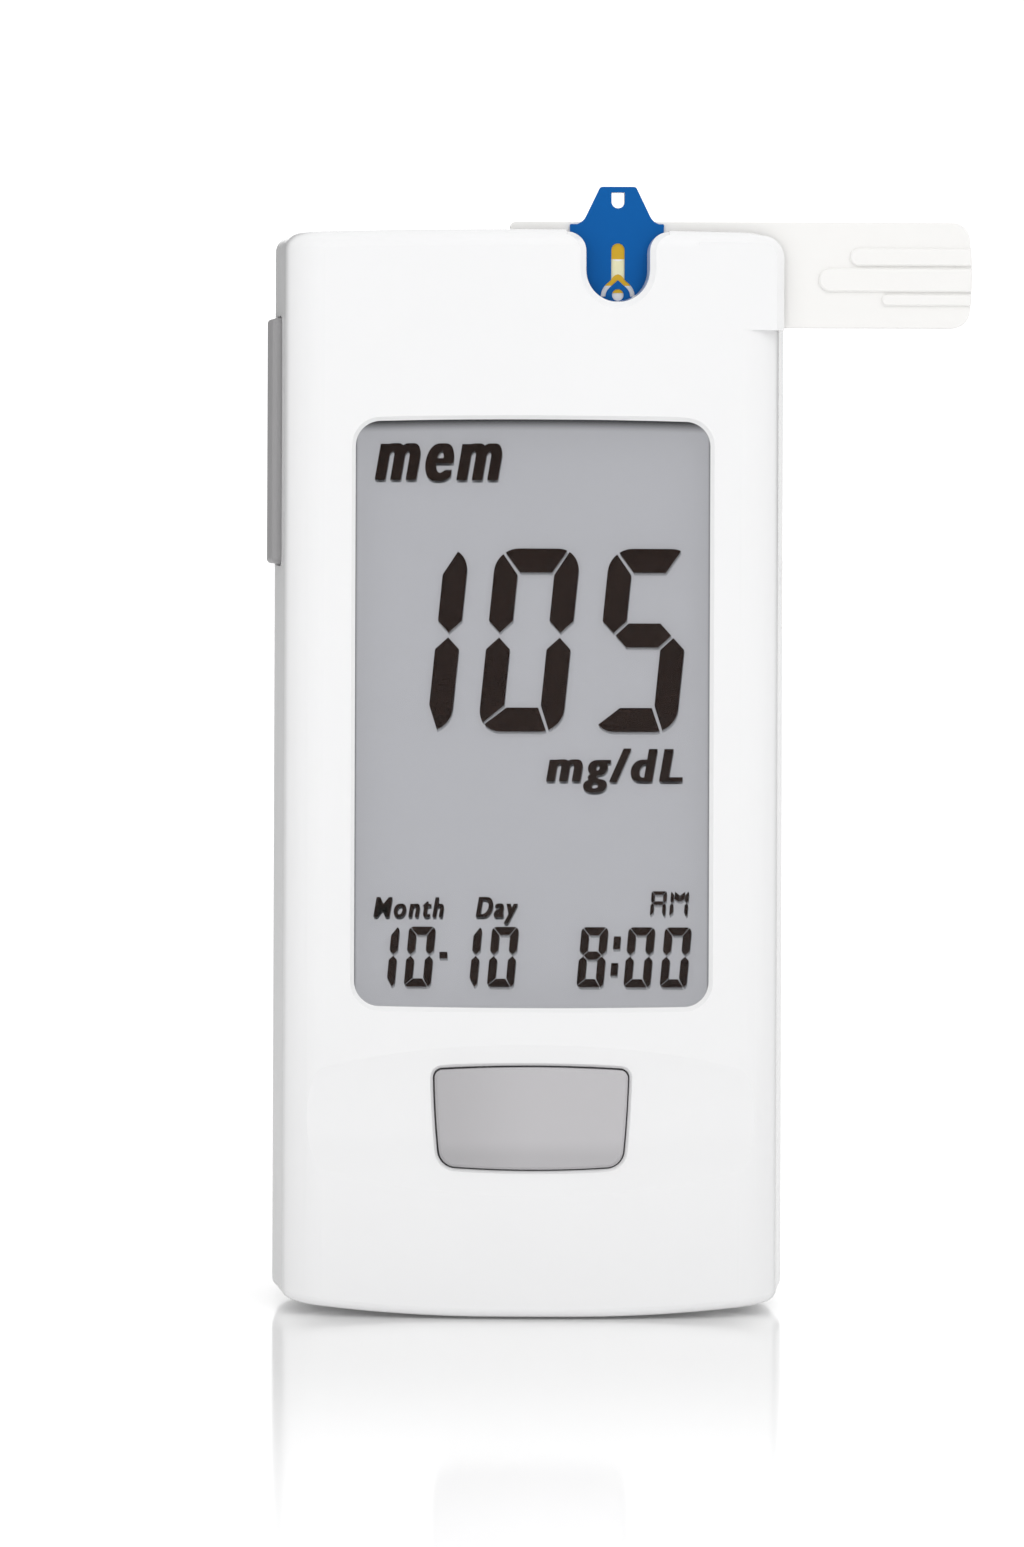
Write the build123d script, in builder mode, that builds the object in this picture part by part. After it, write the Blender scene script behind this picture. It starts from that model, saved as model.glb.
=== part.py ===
from build123d import *
from math import radians, sqrt, tan
import os

# Blood glucose meter with its test strip in place, standing on its lower end.
# Millimetres. +Z runs up the length of the meter, the display faces -Y and the grip of the strip
# points to +X. The origin is the middle of the foot, on the surface that the meter stands on.

os.makedirs("parts", exist_ok=True)

# --- Driving dimensions ---------------------------------------------------------------------

# Housing: a crowned front, rounded long edges, drafted sides and a flat back
body_width = 45.6
body_height = 95.6
body_depth = 23.0
wall = 1.6
lower_wall = 2.0
crown_radius = 120.0
front_draft = 8.2
front_edge_radius = 4.2
back_draft = 0.5
back_edge_radius = 5.0
top_radius = 1.5
foot_radius = 0.8
foot_width = 8.0
foot_rise = 1.2
top_bow = 0.25
seam_groove = 0.2

# Overlapping lip along the seam, on the front shell
lip_thickness = 0.7
lip_height = 1.0
lip_fit = 0.05
lip_corner = 1.2

# Display window and the lens behind it
window_width = 31.2
window_height = 51.7
window_z = 53.0
window_top_bow = 0.23
window_low_bow = 0.1
window_corner = 2.2
window_rim = 0.35
lens_depth = 0.8
lens_thickness = 0.8
lens_overlap = 1.1
lens_fit = 0.1

# Liquid crystal cell, its frame and its connector
cell_width = 34.0
cell_height = 57.3
cell_margin = 1.5
cell_plate = 0.5
cell_gap = 0.1
cell_ledge = 3.1
cell_seat = 0.07
cell_fit = 0.15
seal_width = 1.0
reflector_thickness = 0.25
lcd_frame_wall = 1.2
lcd_frame_seat = 0.2
lcd_frame_ledge = 1.4
lcd_frame_corner = 0.8
zebra_width = 31.0
zebra_height = 2.2
zebra_inset = 0.4
zebra_fit = 0.1

# Main board
board_width = 40.4
board_low = 4.0
board_high = 93.6
board_front_y = -3.6
board_thickness = 1.0
board_key_x = 18.4
buzzer_x = 9.0
buzzer_z = 72.0
buzzer_radius = 4.5
buzzer_height = 2.5
sound_hole_radius = 0.6
sound_hole_circle = 2.4
buzzer_port_radius = 0.8
buzzer_floor = 1.0
buzzer_edge = 0.3
processor_x = -6.0
processor_z = 72.0
processor_size = 10.0
processor_thickness = 1.2
chip_edge = 0.2
pin_mark_inset = 1.2
pin_mark_radius = 0.5
pin_mark_depth = 0.15
amplifiers_x = (0.0, 7.5)
amplifier_z = 85.0
amplifier_width = 4.0
amplifier_height = 5.0
amplifier_thickness = 1.3
amplifier_lead = 1.0
lead_pitch = 1.27
lead_thickness = 0.25
lead_width = 0.4
crystal_x = -6.0
crystal_low_z = 62.2
crystal_radius = 1.0
crystal_length = 2.6
capacitor_x = 14.0
capacitor_z = 80.0
capacitor_width = 1.2
capacitor_height = 2.0
capacitor_thickness = 0.8
capacitor_pitch_x = 2.2
capacitor_pitch_z = 2.6
board_corner = 1.5
board_key_room = 1.8
board_boss_fit = 0.3
board_hole_fit = 0.1

# Main button in its scoop
button_top_width = 17.0
button_bottom_width = 15.9
button_top_z = 21.65
button_bottom_z = 13.28
button_bow = 0.3
button_top_corner = 0.7
button_bottom_corner = 1.5
button_fit = 0.15
button_proud = 0.3
button_flange = 0.8
button_flange_thickness = 0.8
button_travel = 0.5
button_edge = 0.22
button_rim = 0.25
switch_z = 17.5
switch_width = 6.0
switch_front_y = -6.8
switch_leg_height = 0.9
switch_leg_reach = 0.7
switch_leg_thickness = 0.2
switch_corner = 0.4
plunger_radius = 1.6
plunger_front_y = -7.6
plunger_length = 1.7
plunger_edge = 0.2
plunger_fit = 0.1
button_post_radius = 2.2
button_side_bow = 0.7
scoop_z = 17.3
scoop_height = 13.3
scoop_depth = 0.7
scoop_sweep_radius = 165.0

# Side key on the left, a rocker on two stub pins
key_low = 66.0
key_high = 87.9
key_front_y = -4.3
key_back_y = -0.2
key_proud = 0.8
key_fit = 0.2
key_pivot_x = -19.6
key_pin_radius = 0.8
key_pin_fit = 0.05
key_post_reach = 9.0
key_post_gap = 0.3
key_post_depth = 1.2
key_post_height = 1.6
key_corner = 0.8
key_flange = 1.0
key_flange_x = -20.0
key_flange_thickness = 0.5
key_rib_reach = 0.9
key_rib_depth = 2.8
key_rib_height = 3.2
key_pin_reach = 1.1
key_rear_pin_reach = 1.05
key_edge = 0.5
key_rear_rib_depth = 2.05
side_plunger_x = -18.55
side_plunger_reach = 0.35
side_switch_y = -1.7
side_switch_height = 2.4
side_switch_depth = 3.4
side_switch_length = 4.4
side_plunger_width = 0.8
side_plunger_length = 1.8

# Strip slot, open at the top and at the right, with the hood over its right end
strip_length = 40.8
strip_width = 9.36
strip_thickness = 1.4
strip_left_x = -2.0
strip_low_z = 87.03
film_thickness = 0.25
film_front_y = -8.2
slot_fit = 0.25
slot_floor = 1.2
slot_rear_wall = 1.2
port_fit = 0.2
port_pad_left_x = -2.1
port_pad_right_x = 3.0
port_pad_low_z = 87.8
port_pad_high_z = 93.0
port_contact_low = 1.63
port_contact_pitch = 1.2
port_contact_width = 0.6
port_contact_gap = 0.05
port_contact_thickness = 0.2
port_body_left = 2.9
port_body_right = 6.0
port_body_low = 1.6
port_contact_tail = 4.0
port_contact_knee = 0.6
port_contact_crest = 2.6
port_contact_tip = 4.1
port_contact_drop = 1.0
port_contact_bend = 0.4
hood_left_x = 14.5
hood_right_x = 22.15
hood_drop = 0.45
hood_corner = 2.0
hood_bevel = 0.7

# Notch that bares the sample end of the strip, and the nose of the strip above it
notch_x = 7.4
notch_width = 5.3
notch_low_z = 89.35
notch_flare = 1.9
notch_taper = 4.0
notch_rim = 0.5
notch_depth = 3.4
notch_shoulder = 0.2
nose_top_z = 99.45
nose_x = 7.5
nose_top_width = 3.15
nose_foot_width = 5.65
nose_foot_z = 96.85
nose_fillet_width = 7.2
nose_corner = 0.35
label_width = 8.3
label_low_z = 87.5
label_top_z = 96.15
label_corner = 0.1

# Capillary channel in the cover film, with the drop-shaped island below it
channel_width = 1.18
channel_top_z = 94.45
island_radius = 1.08
island_z = 89.75
island_tip_z = 91.2
channel_arm = 0.42
vent_radius = 0.52
vent_rise = 0.15
inlet_width = 1.16
inlet_low_z = 97.55
inlet_high_z = 98.95

# Finger-shaped grip on the strip
grip_relief = 0.3
grip_groove = 0.22
grip_edge = 0.12
grip_bow = 0.35
grip_corner = 1.6
grip_left_x = 23.5
fingers = [(28.0, 92.44, 94.2), (25.25, 90.14, 92.44), (30.8, 88.91, 90.14)]
electrode_depth = 0.3
electrode_width = 0.7
electrode_margin = 0.4
electrode_overrun = 0.5
fill_electrode_height = 1.4
counter_electrode_width = 2.2
counter_electrode_height = 1.05
electrode_fit = 0.05
strip_corner = 0.5
base_inset = 0.1

# Battery compartment and the two AAA cells
aaa_radius = 5.25
aaa_length = 44.5
aaa_nub_radius = 1.9
aaa_nub_height = 1.0
aaa_y = 4.6
aaa_pitch = 11.1
aaa_crimp = 0.6
aaa_rim = 0.3
aaa_nub_edge = 0.2
bay_width = 22.2
bay_low = 9.2
bay_high = 59.2
bay_wall = 1.0
bay_front_y = -0.9
contact_thickness = 0.3
contact_dimple = 0.6
contact_dimple_foot = 2.4
contact_dimple_top = 1.6
contact_width = 8.0
contact_reach = 9.5
contact_tab = 3.0
cell_rib = 0.8
cell_rib_height = 2.1
leaf_space = 4.3
leaf_width = 4.0
leaf_foot = 2.6
leaf_margin = 0.4
leaf_nose_x = 0.8
leaf_rise = 4.27
leaf_tail = 1.5
leaf_tail_drop = 1.3
leaf_bend = 0.5

# Battery door: hinge bead and tongues at its lower edge, sprung latch at its upper edge
door_width = 25.2
door_thickness = 1.4
door_low = 5.4
door_high = 63.4
door_fit = 0.2
door_bead = 1.5
door_ledge = 1.4
tongue_width = 4.0
tongue_pitch = 14.0
tongue_reach = 3.2
tongue_thickness = 1.0
tongue_room = 0.3
tongue_side_fit = 0.3
tongue_inset = 0.1
tongue_end_room = 0.5
tongue_turn_room = 0.2
latch_width = 9.0
latch_leg = 0.8
latch_depth = 5.85
latch_low_z = 61.2
latch_floor_y = 3.8
latch_thumb_gap = 0.6
door_corner = 2.0
door_seat_gap = 0.15
door_groove_width = 12.0
door_groove_z = 56.0
door_groove_pitch = 2.2
door_groove_radius = 0.7
door_groove_rise = 0.3

# Screws
case_screw_x = 15.6
case_screw_low_z = 11.5
case_screw_high_z = 91.0
case_boss_radius = 2.3
case_pillar_radius = 2.6
case_split_y = 0.4
case_screw_radius = 1.0
case_screw_head_radius = 1.8
case_screw_head_height = 1.3
case_screw_length = 8.0
case_screw_seat_y = 3.6
case_well_radius = 2.1
board_screw_radius = 0.8
board_screw_head_radius = 1.5
board_screw_head_height = 0.6
board_screw_length = 4.0
board_boss_radius = 2.2
screw_fit = 0.02
screw_relief = 0.3
screw_clearance = 0.15
case_screw_edge = 0.4
board_screw_edge = 0.25

# --- Derived places -------------------------------------------------------------------------

front_y = -body_depth / 2
back_y = body_depth / 2
half_width = body_width / 2
crown_axis_y = front_y + crown_radius


def crown_y(x, inset=0.0):
    """Depth of the crowned front at x, or of a surface that lies inset behind it."""
    return crown_axis_y - sqrt((crown_radius - inset) ** 2 - x**2)


def side_x(y):
    """Half width of the housing on its drafted front half."""
    return half_width + y * tan(radians(front_draft))


# The glass cell lies just behind the wall at its long edges, the button flange behind the wall
# at the button's upper corners.
cell_front_y = crown_y(cell_width / 2, wall) + cell_seat
cell_back_y = cell_front_y + 2 * cell_plate + cell_gap
cell_low_z = window_z - window_height / 2 - cell_margin
cell_high_z = cell_low_z + cell_height
lcd_frame_x = cell_width / 2 + cell_fit + lcd_frame_wall
lcd_frame_front_y = crown_y(lcd_frame_x, wall) + lcd_frame_seat
button_flange_y = crown_y(button_top_width / 2 + button_flange, wall) + button_fit
board_back_y = board_front_y + board_thickness
key_middle_z = (key_low + key_high) / 2
strip_high_z = strip_low_z + strip_width
strip_front_y = film_front_y + film_thickness
strip_back_y = strip_front_y + strip_thickness
slot_front_y = film_front_y - slot_fit
slot_back_y = strip_back_y + slot_fit
slot_low_z = strip_low_z - slot_fit
slot_left_x = strip_left_x - slot_fit
door_inner_y = back_y - door_thickness
hinge_y = back_y - door_bead
hinge_z = door_low + door_bead
scoop_floor_y = front_y + scoop_depth
beyond = 5.0  # how far a cut runs past the surface that it opens


# --- Outer form of the housing --------------------------------------------------------------

with BuildSketch() as sharp_section:
    with BuildLine():
        Polyline(
            (-side_x(front_y - 1), front_y - 1),
            (side_x(front_y - 1), front_y - 1),
            (half_width, 0),
            (half_width - back_draft, back_y),
            (-half_width + back_draft, back_y),
            (-half_width, 0),
            close=True,
        )
    make_face()
    with Locations((0, crown_axis_y)):
        Circle(crown_radius, mode=Mode.INTERSECT)

with BuildSketch() as body_section:
    add(sharp_section.sketch)
    fillet(body_section.vertices().group_by(Axis.Y)[0], radius=front_edge_radius)
    fillet(body_section.vertices().group_by(Axis.Y)[-1], radius=back_edge_radius)

with BuildSketch() as cavity_section:
    add(body_section.sketch)
    offset(amount=-wall)

# Seen from the front, the lower end lifts a little to each side of the flat foot, and the upper
# end is a shallow arch.
with BuildSketch(Plane.XZ.offset(body_depth)) as body_outline:
    with BuildLine():
        foot = Line((0, 0), (foot_width / 2, 0))
        lift = TangentArc(foot @ 1, (half_width, foot_rise), tangent=foot % 1)
        side = Line(lift @ 1, (half_width, body_height - top_bow))
        mirror(about=Plane.YZ)
        ThreePointArc(side @ 1, (0, body_height), (-half_width, body_height - top_bow))
    make_face()

with BuildPart() as body_form:
    extrude(body_section.sketch, amount=body_height)
    extrude(body_outline.sketch, amount=-2 * body_depth, mode=Mode.INTERSECT)
    foot_edges = body_form.edges().filter_by_position(Axis.Z, -1, foot_rise + 0.1)
    fillet(foot_edges.filter_by(Axis.Y, reverse=True), radius=foot_radius)
    top_edges = body_form.edges().filter_by_position(
        Axis.Z, body_height - top_bow - 0.1, body_height + 1
    )
    fillet(top_edges.filter_by(Axis.Y, reverse=True), radius=top_radius)


def facing(y):
    """Plane at depth y that faces the way the display does, with x to the right and z up."""
    return Plane.XZ.offset(-y)


def block(x, y, z, mode=Mode.ADD):
    """Box between the low and high value given along each axis."""
    with Locations(((x[0] + x[1]) / 2, (y[0] + y[1]) / 2, (z[0] + z[1]) / 2)):
        Box(x[1] - x[0], y[1] - y[0], z[1] - z[0], mode=mode)


def rods(centres, radius, y_low, y_high, mode=Mode.ADD):
    """Round rods or holes that run along Y between two depths, at the given x and z."""
    with BuildSketch(facing(y_high)) as rod_ends:
        with Locations(*centres):
            Circle(radius)
    extrude(rod_ends.sketch, amount=y_high - y_low, mode=mode)


def window_outline(y, growth):
    """Outline of the display window at depth y, with slightly bowed ends."""
    half = window_width / 2 + growth
    low_z = window_z - window_height / 2 - growth
    high_z = window_z + window_height / 2 + growth
    with BuildSketch(facing(y)) as outline:
        with BuildLine():
            head = ThreePointArc(
                (-half, high_z - window_top_bow), (0, high_z), (half, high_z - window_top_bow)
            )
            side = Line(head @ 1, (half, low_z + window_low_bow))
            ThreePointArc(side @ 1, (0, low_z), (-half, low_z + window_low_bow))
            mirror(side, about=Plane.YZ)
        make_face()
        fillet(outline.vertices(), radius=window_corner + growth)
    return outline.sketch


def crowned_sheet(depth, thickness, growth):
    """Sheet behind the display window that follows the crown of the front."""
    with BuildPart() as sheet:
        with BuildSketch():
            with Locations((0, crown_axis_y)):
                Circle(crown_radius - depth)
                Circle(crown_radius - depth - thickness, mode=Mode.SUBTRACT)
        extrude(amount=body_height)
        extrude(window_outline(0, growth), amount=body_depth, mode=Mode.INTERSECT)
    return sheet.part


def button_outline(y, growth):
    """Outline of the main button at depth y: bowed ends and sides that draw in downwards."""
    top = button_top_width / 2 + growth
    bottom = button_bottom_width / 2 + growth
    top_z = button_top_z + growth
    bottom_z = button_bottom_z - growth
    with BuildSketch(facing(y)) as outline:
        with BuildLine():
            head = ThreePointArc((-top, top_z), (0, top_z + button_bow), (top, top_z))
            side = ThreePointArc(
                head @ 1,
                (
                    button_side_bow * top + (1 - button_side_bow) * bottom,
                    (top_z + bottom_z) / 2,
                ),
                (bottom, bottom_z),
            )
            ThreePointArc(side @ 1, (0, bottom_z - button_bow), (-bottom, bottom_z))
            mirror(side, about=Plane.YZ)
        make_face()
        fillet(outline.vertices().group_by(Axis.Y)[-1], radius=button_top_corner + growth)
        fillet(outline.vertices().group_by(Axis.Y)[0], radius=button_bottom_corner + growth)
    return outline.sketch


case_screws_at = [
    (x, z) for x in (-case_screw_x, case_screw_x) for z in (case_screw_low_z, case_screw_high_z)
]
board_screws_at = [(-14.2, 18.5), (14.2, 18.5), (-10.2, 90.0)]


# --- Front shell ----------------------------------------------------------------------------


def scoop_space(floor_y):
    """Space in front of the scooped surface: an arc swept round an upright axis."""
    axis_y = floor_y + scoop_sweep_radius
    far_floor_y = axis_y + scoop_sweep_radius
    far_y = far_floor_y + scoop_depth + beyond
    with BuildPart() as space:
        with BuildSketch(Plane.YZ):
            with BuildLine():
                scoop_arc = ThreePointArc(
                    (far_floor_y + scoop_depth, scoop_z - scoop_height / 2),
                    (far_floor_y, scoop_z),
                    (far_floor_y + scoop_depth, scoop_z + scoop_height / 2),
                )
                Polyline(
                    scoop_arc @ 1,
                    (far_y, scoop_z + scoop_height / 2),
                    (far_y, scoop_z - scoop_height / 2),
                    scoop_arc @ 0,
                )
            make_face()
        revolve(axis=Axis((0, axis_y, 0), (0, 0, 1)))
    return space.part


def notch_outline(y, growth):
    """Outline of the notch over the sample end: a U with flared shoulders, open at the top."""
    half = notch_width / 2 + growth
    flare = notch_flare - growth
    bottom_z = notch_low_z + notch_width / 2
    top_z = body_height - notch_shoulder
    bend = flare * (1 - sqrt(0.5))
    with BuildSketch(facing(y)) as outline:
        with BuildLine():
            shoulder = ThreePointArc(
                (half + flare, top_z), (half + bend, top_z - bend), (half, top_z - flare)
            )
            side = Line(shoulder @ 1, (half, bottom_z))
            ThreePointArc(side @ 1, (0, bottom_z - half), (-half, bottom_z))
            Polyline(
                (half + flare, top_z), (half + flare, body_height + 1), (0, body_height + 1)
            )
            mirror(about=Plane.YZ)
        make_face()
    return outline.sketch.moved(Location((notch_x, 0, 0)))


def lip_outline(y, inset):
    """Outline that runs inside the seam of the housing at the given distance."""
    with BuildSketch(facing(y)) as outline:
        with Locations((0, (lower_wall + body_height) / 2 - wall / 2)):
            RectangleRounded(
                body_width - 2 * wall + 2 * inset,
                body_height - wall - lower_wall + 2 * inset,
                lip_corner,
            )
    return outline.sketch


# Space inside the front half, less the walls round the slot, the bosses and the key bearing
with BuildPart() as front_cavity:
    with BuildSketch(Plane.XY.offset(lower_wall)):
        add(cavity_section.sketch)
    extrude(amount=body_height - wall - lower_wall)
    split(bisect_by=Plane.XZ)
    block(
        (slot_left_x - slot_floor, half_width),
        (front_y, slot_back_y + slot_rear_wall),
        (slot_low_z - slot_floor, body_height),
        Mode.SUBTRACT,
    )
    rods(case_screws_at, case_boss_radius, front_y, 0, Mode.SUBTRACT)
    rods(board_screws_at, board_boss_radius, front_y, board_front_y, Mode.SUBTRACT)
    block(
        (-half_width, key_pivot_x + key_rib_reach),
        (key_front_y - key_fit - key_rib_depth, key_front_y - key_fit - key_fit),
        (key_middle_z - key_rib_height / 2, key_middle_z + key_rib_height / 2),
        Mode.SUBTRACT,
    )

# Hood over the right end of the slot: there the crown runs on past the rounded long edge
with BuildPart() as hood:
    with BuildSketch(Plane.XY.offset(slot_low_z)):
        with Locations((0, crown_axis_y)):
            Circle(crown_radius)
    extrude(amount=body_height - hood_drop - slot_low_z)
    block(
        (hood_left_x, hood_right_x),
        (front_y, slot_back_y),
        (slot_low_z, body_height),
        Mode.INTERSECT,
    )
    fillet(hood.edges().group_by(Axis.Z)[-1].sort_by(Axis.X)[-1], radius=hood_corner)
    hood_rim = hood.faces().sort_by(Axis.Y)[0].edges()
    hood_rim = hood_rim.filter_by_position(Axis.X, hood_left_x + 0.1, half_width)
    hood_rim = hood_rim.filter_by_position(Axis.Z, slot_low_z + 0.1, body_height)
    chamfer(hood_rim, length=hood_bevel)

with BuildPart() as front_shell:
    add(body_form.part)
    split(bisect_by=Plane.XZ)
    chamfer(front_shell.edges().filter_by_position(Axis.Y, -0.01, 0.01), length=seam_groove)
    add(hood.part)

    add(scoop_space(scoop_floor_y), mode=Mode.SUBTRACT)

    # Button opening
    extrude(button_outline(button_flange_y, button_fit), amount=beyond, mode=Mode.SUBTRACT)
    button_rim_edges = front_shell.edges(Select.LAST)
    chamfer(
        button_rim_edges.filter_by_position(Axis.Y, front_y, scoop_floor_y + 0.5),
        length=button_rim,
    )

    # Display window
    extrude(window_outline(cell_front_y, 0), amount=beyond, mode=Mode.SUBTRACT)
    window_rim_edges = front_shell.edges(Select.LAST)
    chamfer(
        window_rim_edges.filter_by_position(Axis.Y, front_y, crown_y(window_width / 2) + 0.1),
        length=window_rim,
    )

    # Notch over the sample end of the strip, which widens towards the front
    notch_growth = notch_depth * tan(radians(notch_taper))
    loft(
        sections=[
            notch_outline(slot_back_y, 0),
            notch_outline(slot_front_y, 0.01),
        ],
        mode=Mode.SUBTRACT,
    )
    loft(
        sections=[
            notch_outline(slot_front_y, 0.01),
            notch_outline(slot_front_y - notch_depth, notch_growth),
        ],
        mode=Mode.SUBTRACT,
    )
    notch_rim_edges = front_shell.edges(Select.LAST)
    chamfer(
        notch_rim_edges.filter_by_position(Axis.Y, front_y, crown_y(notch_x + notch_width) + 0.1)
        .filter_by_position(Axis.X, notch_x - notch_width, notch_x + notch_width)
        .filter_by_position(Axis.Z, 0, body_height - top_radius),
        length=notch_rim,
    )

    # Hollow inside, recess for the lens, strip slot and the opening behind it for the contacts
    add(front_cavity.part, mode=Mode.SUBTRACT)
    add(crowned_sheet(lens_depth, 2 * lens_thickness, lens_overlap + lens_fit), mode=Mode.SUBTRACT)
    block(
        (slot_left_x, half_width + beyond),
        (slot_front_y, slot_back_y),
        (slot_low_z, body_height + beyond),
        Mode.SUBTRACT,
    )
    block(
        (port_pad_left_x - port_fit, port_pad_right_x + port_fit),
        (slot_back_y, slot_back_y + slot_rear_wall),
        (port_pad_low_z - port_fit, port_pad_high_z + port_fit),
        Mode.SUBTRACT,
    )

    # Lip that reaches into the back shell, left out where the side key stands
    extrude(lip_outline(-lip_height, lip_thickness), amount=-2 * lip_height)
    extrude(lip_outline(-lip_height, 0), amount=-2 * lip_height, mode=Mode.SUBTRACT)

    # Screw bosses with their pilot holes
    rods(case_screws_at, case_boss_radius, -lip_height, case_split_y)
    rods(
        case_screws_at,
        case_screw_radius + screw_fit,
        case_screw_seat_y - case_screw_length - screw_relief,
        case_split_y,
        Mode.SUBTRACT,
    )
    rods(
        board_screws_at,
        board_screw_radius + screw_fit,
        board_back_y - board_screw_length - screw_relief,
        board_front_y,
        Mode.SUBTRACT,
    )

    # Opening for the side key and the blind hole for its front pin
    with BuildSketch(Plane.YZ.offset(-half_width - beyond)) as key_opening:
        with BuildLine():
            Polyline(
                (lip_height + 1, key_low - key_fit),
                (key_front_y - key_fit, key_low - key_fit),
                (key_front_y - key_fit, key_high + key_fit),
                (lip_height + 1, key_high + key_fit),
                close=True,
            )
        make_face()
        fillet(key_opening.vertices().group_by(Axis.X)[0], radius=key_corner + key_fit)
    extrude(amount=half_width + beyond + key_flange_x, mode=Mode.SUBTRACT)
    block(
        (-half_width, -half_width + 2 * wall),
        (0, lip_height + 1),
        (key_low - key_flange - 2 * key_fit, key_high + key_flange + 2 * key_fit),
        Mode.SUBTRACT,
    )
    rods(
        [(key_pivot_x, key_middle_z)],
        key_pin_radius + key_pin_fit,
        key_front_y - key_pin_reach - 0.1,
        key_front_y,
        Mode.SUBTRACT,
    )

# --- Back shell -----------------------------------------------------------------------------

bay_x = (-bay_width / 2, bay_width / 2)
bay_z = (bay_low, bay_high)
door_gap_x = door_width / 2 + door_fit
door_gap_low_z = door_low - door_fit
door_gap_high_z = door_high + door_fit
latch_half = latch_width / 2 + 1.5 * door_fit
latch_space_z = (bay_high + bay_wall + door_fit, door_high + latch_thumb_gap)
tongues_at = (-tongue_pitch / 2, tongue_pitch / 2)
tongue_half = tongue_width / 2 + tongue_side_fit
tongue_front_y = hinge_y - door_bead + tongue_inset
tongue_back_y = tongue_front_y + tongue_thickness

# Space inside the back half, less the battery compartment, the pillars and the key bearing
with BuildPart() as back_cavity:
    with BuildSketch(Plane.XY.offset(lower_wall)):
        add(cavity_section.sketch)
    extrude(amount=body_height - wall - lower_wall)
    split(bisect_by=Plane.XZ, keep=Keep.BOTTOM)
    block(
        (bay_x[0] - bay_wall, bay_x[1] + bay_wall),
        (0, back_y),
        (bay_low - bay_wall, bay_high + bay_wall),
        Mode.SUBTRACT,
    )
    block(
        (-door_gap_x - door_ledge, door_gap_x + door_ledge),
        (door_inner_y - door_seat_gap - door_ledge, back_y),
        (door_gap_low_z - door_ledge, door_gap_high_z + door_ledge),
        Mode.SUBTRACT,
    )
    block(
        (-door_gap_x - door_ledge, door_gap_x + door_ledge),
        (hinge_y - 2 * door_bead, back_y),
        (door_gap_low_z - door_ledge, bay_low),
        Mode.SUBTRACT,
    )
    block(
        (-latch_half - latch_leg, latch_half + latch_leg),
        (latch_floor_y - latch_leg, back_y),
        (bay_high, latch_space_z[1] + latch_leg),
        Mode.SUBTRACT,
    )
    rods(case_screws_at, case_pillar_radius, case_split_y, back_y, Mode.SUBTRACT)
    block(
        (-half_width, key_pivot_x + key_rib_reach),
        (key_back_y + key_fit + 0.15, key_back_y + key_fit + 0.15 + key_rear_rib_depth),
        (key_middle_z - key_rib_height / 2, key_middle_z + key_rib_height / 2),
        Mode.SUBTRACT,
    )

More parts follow.
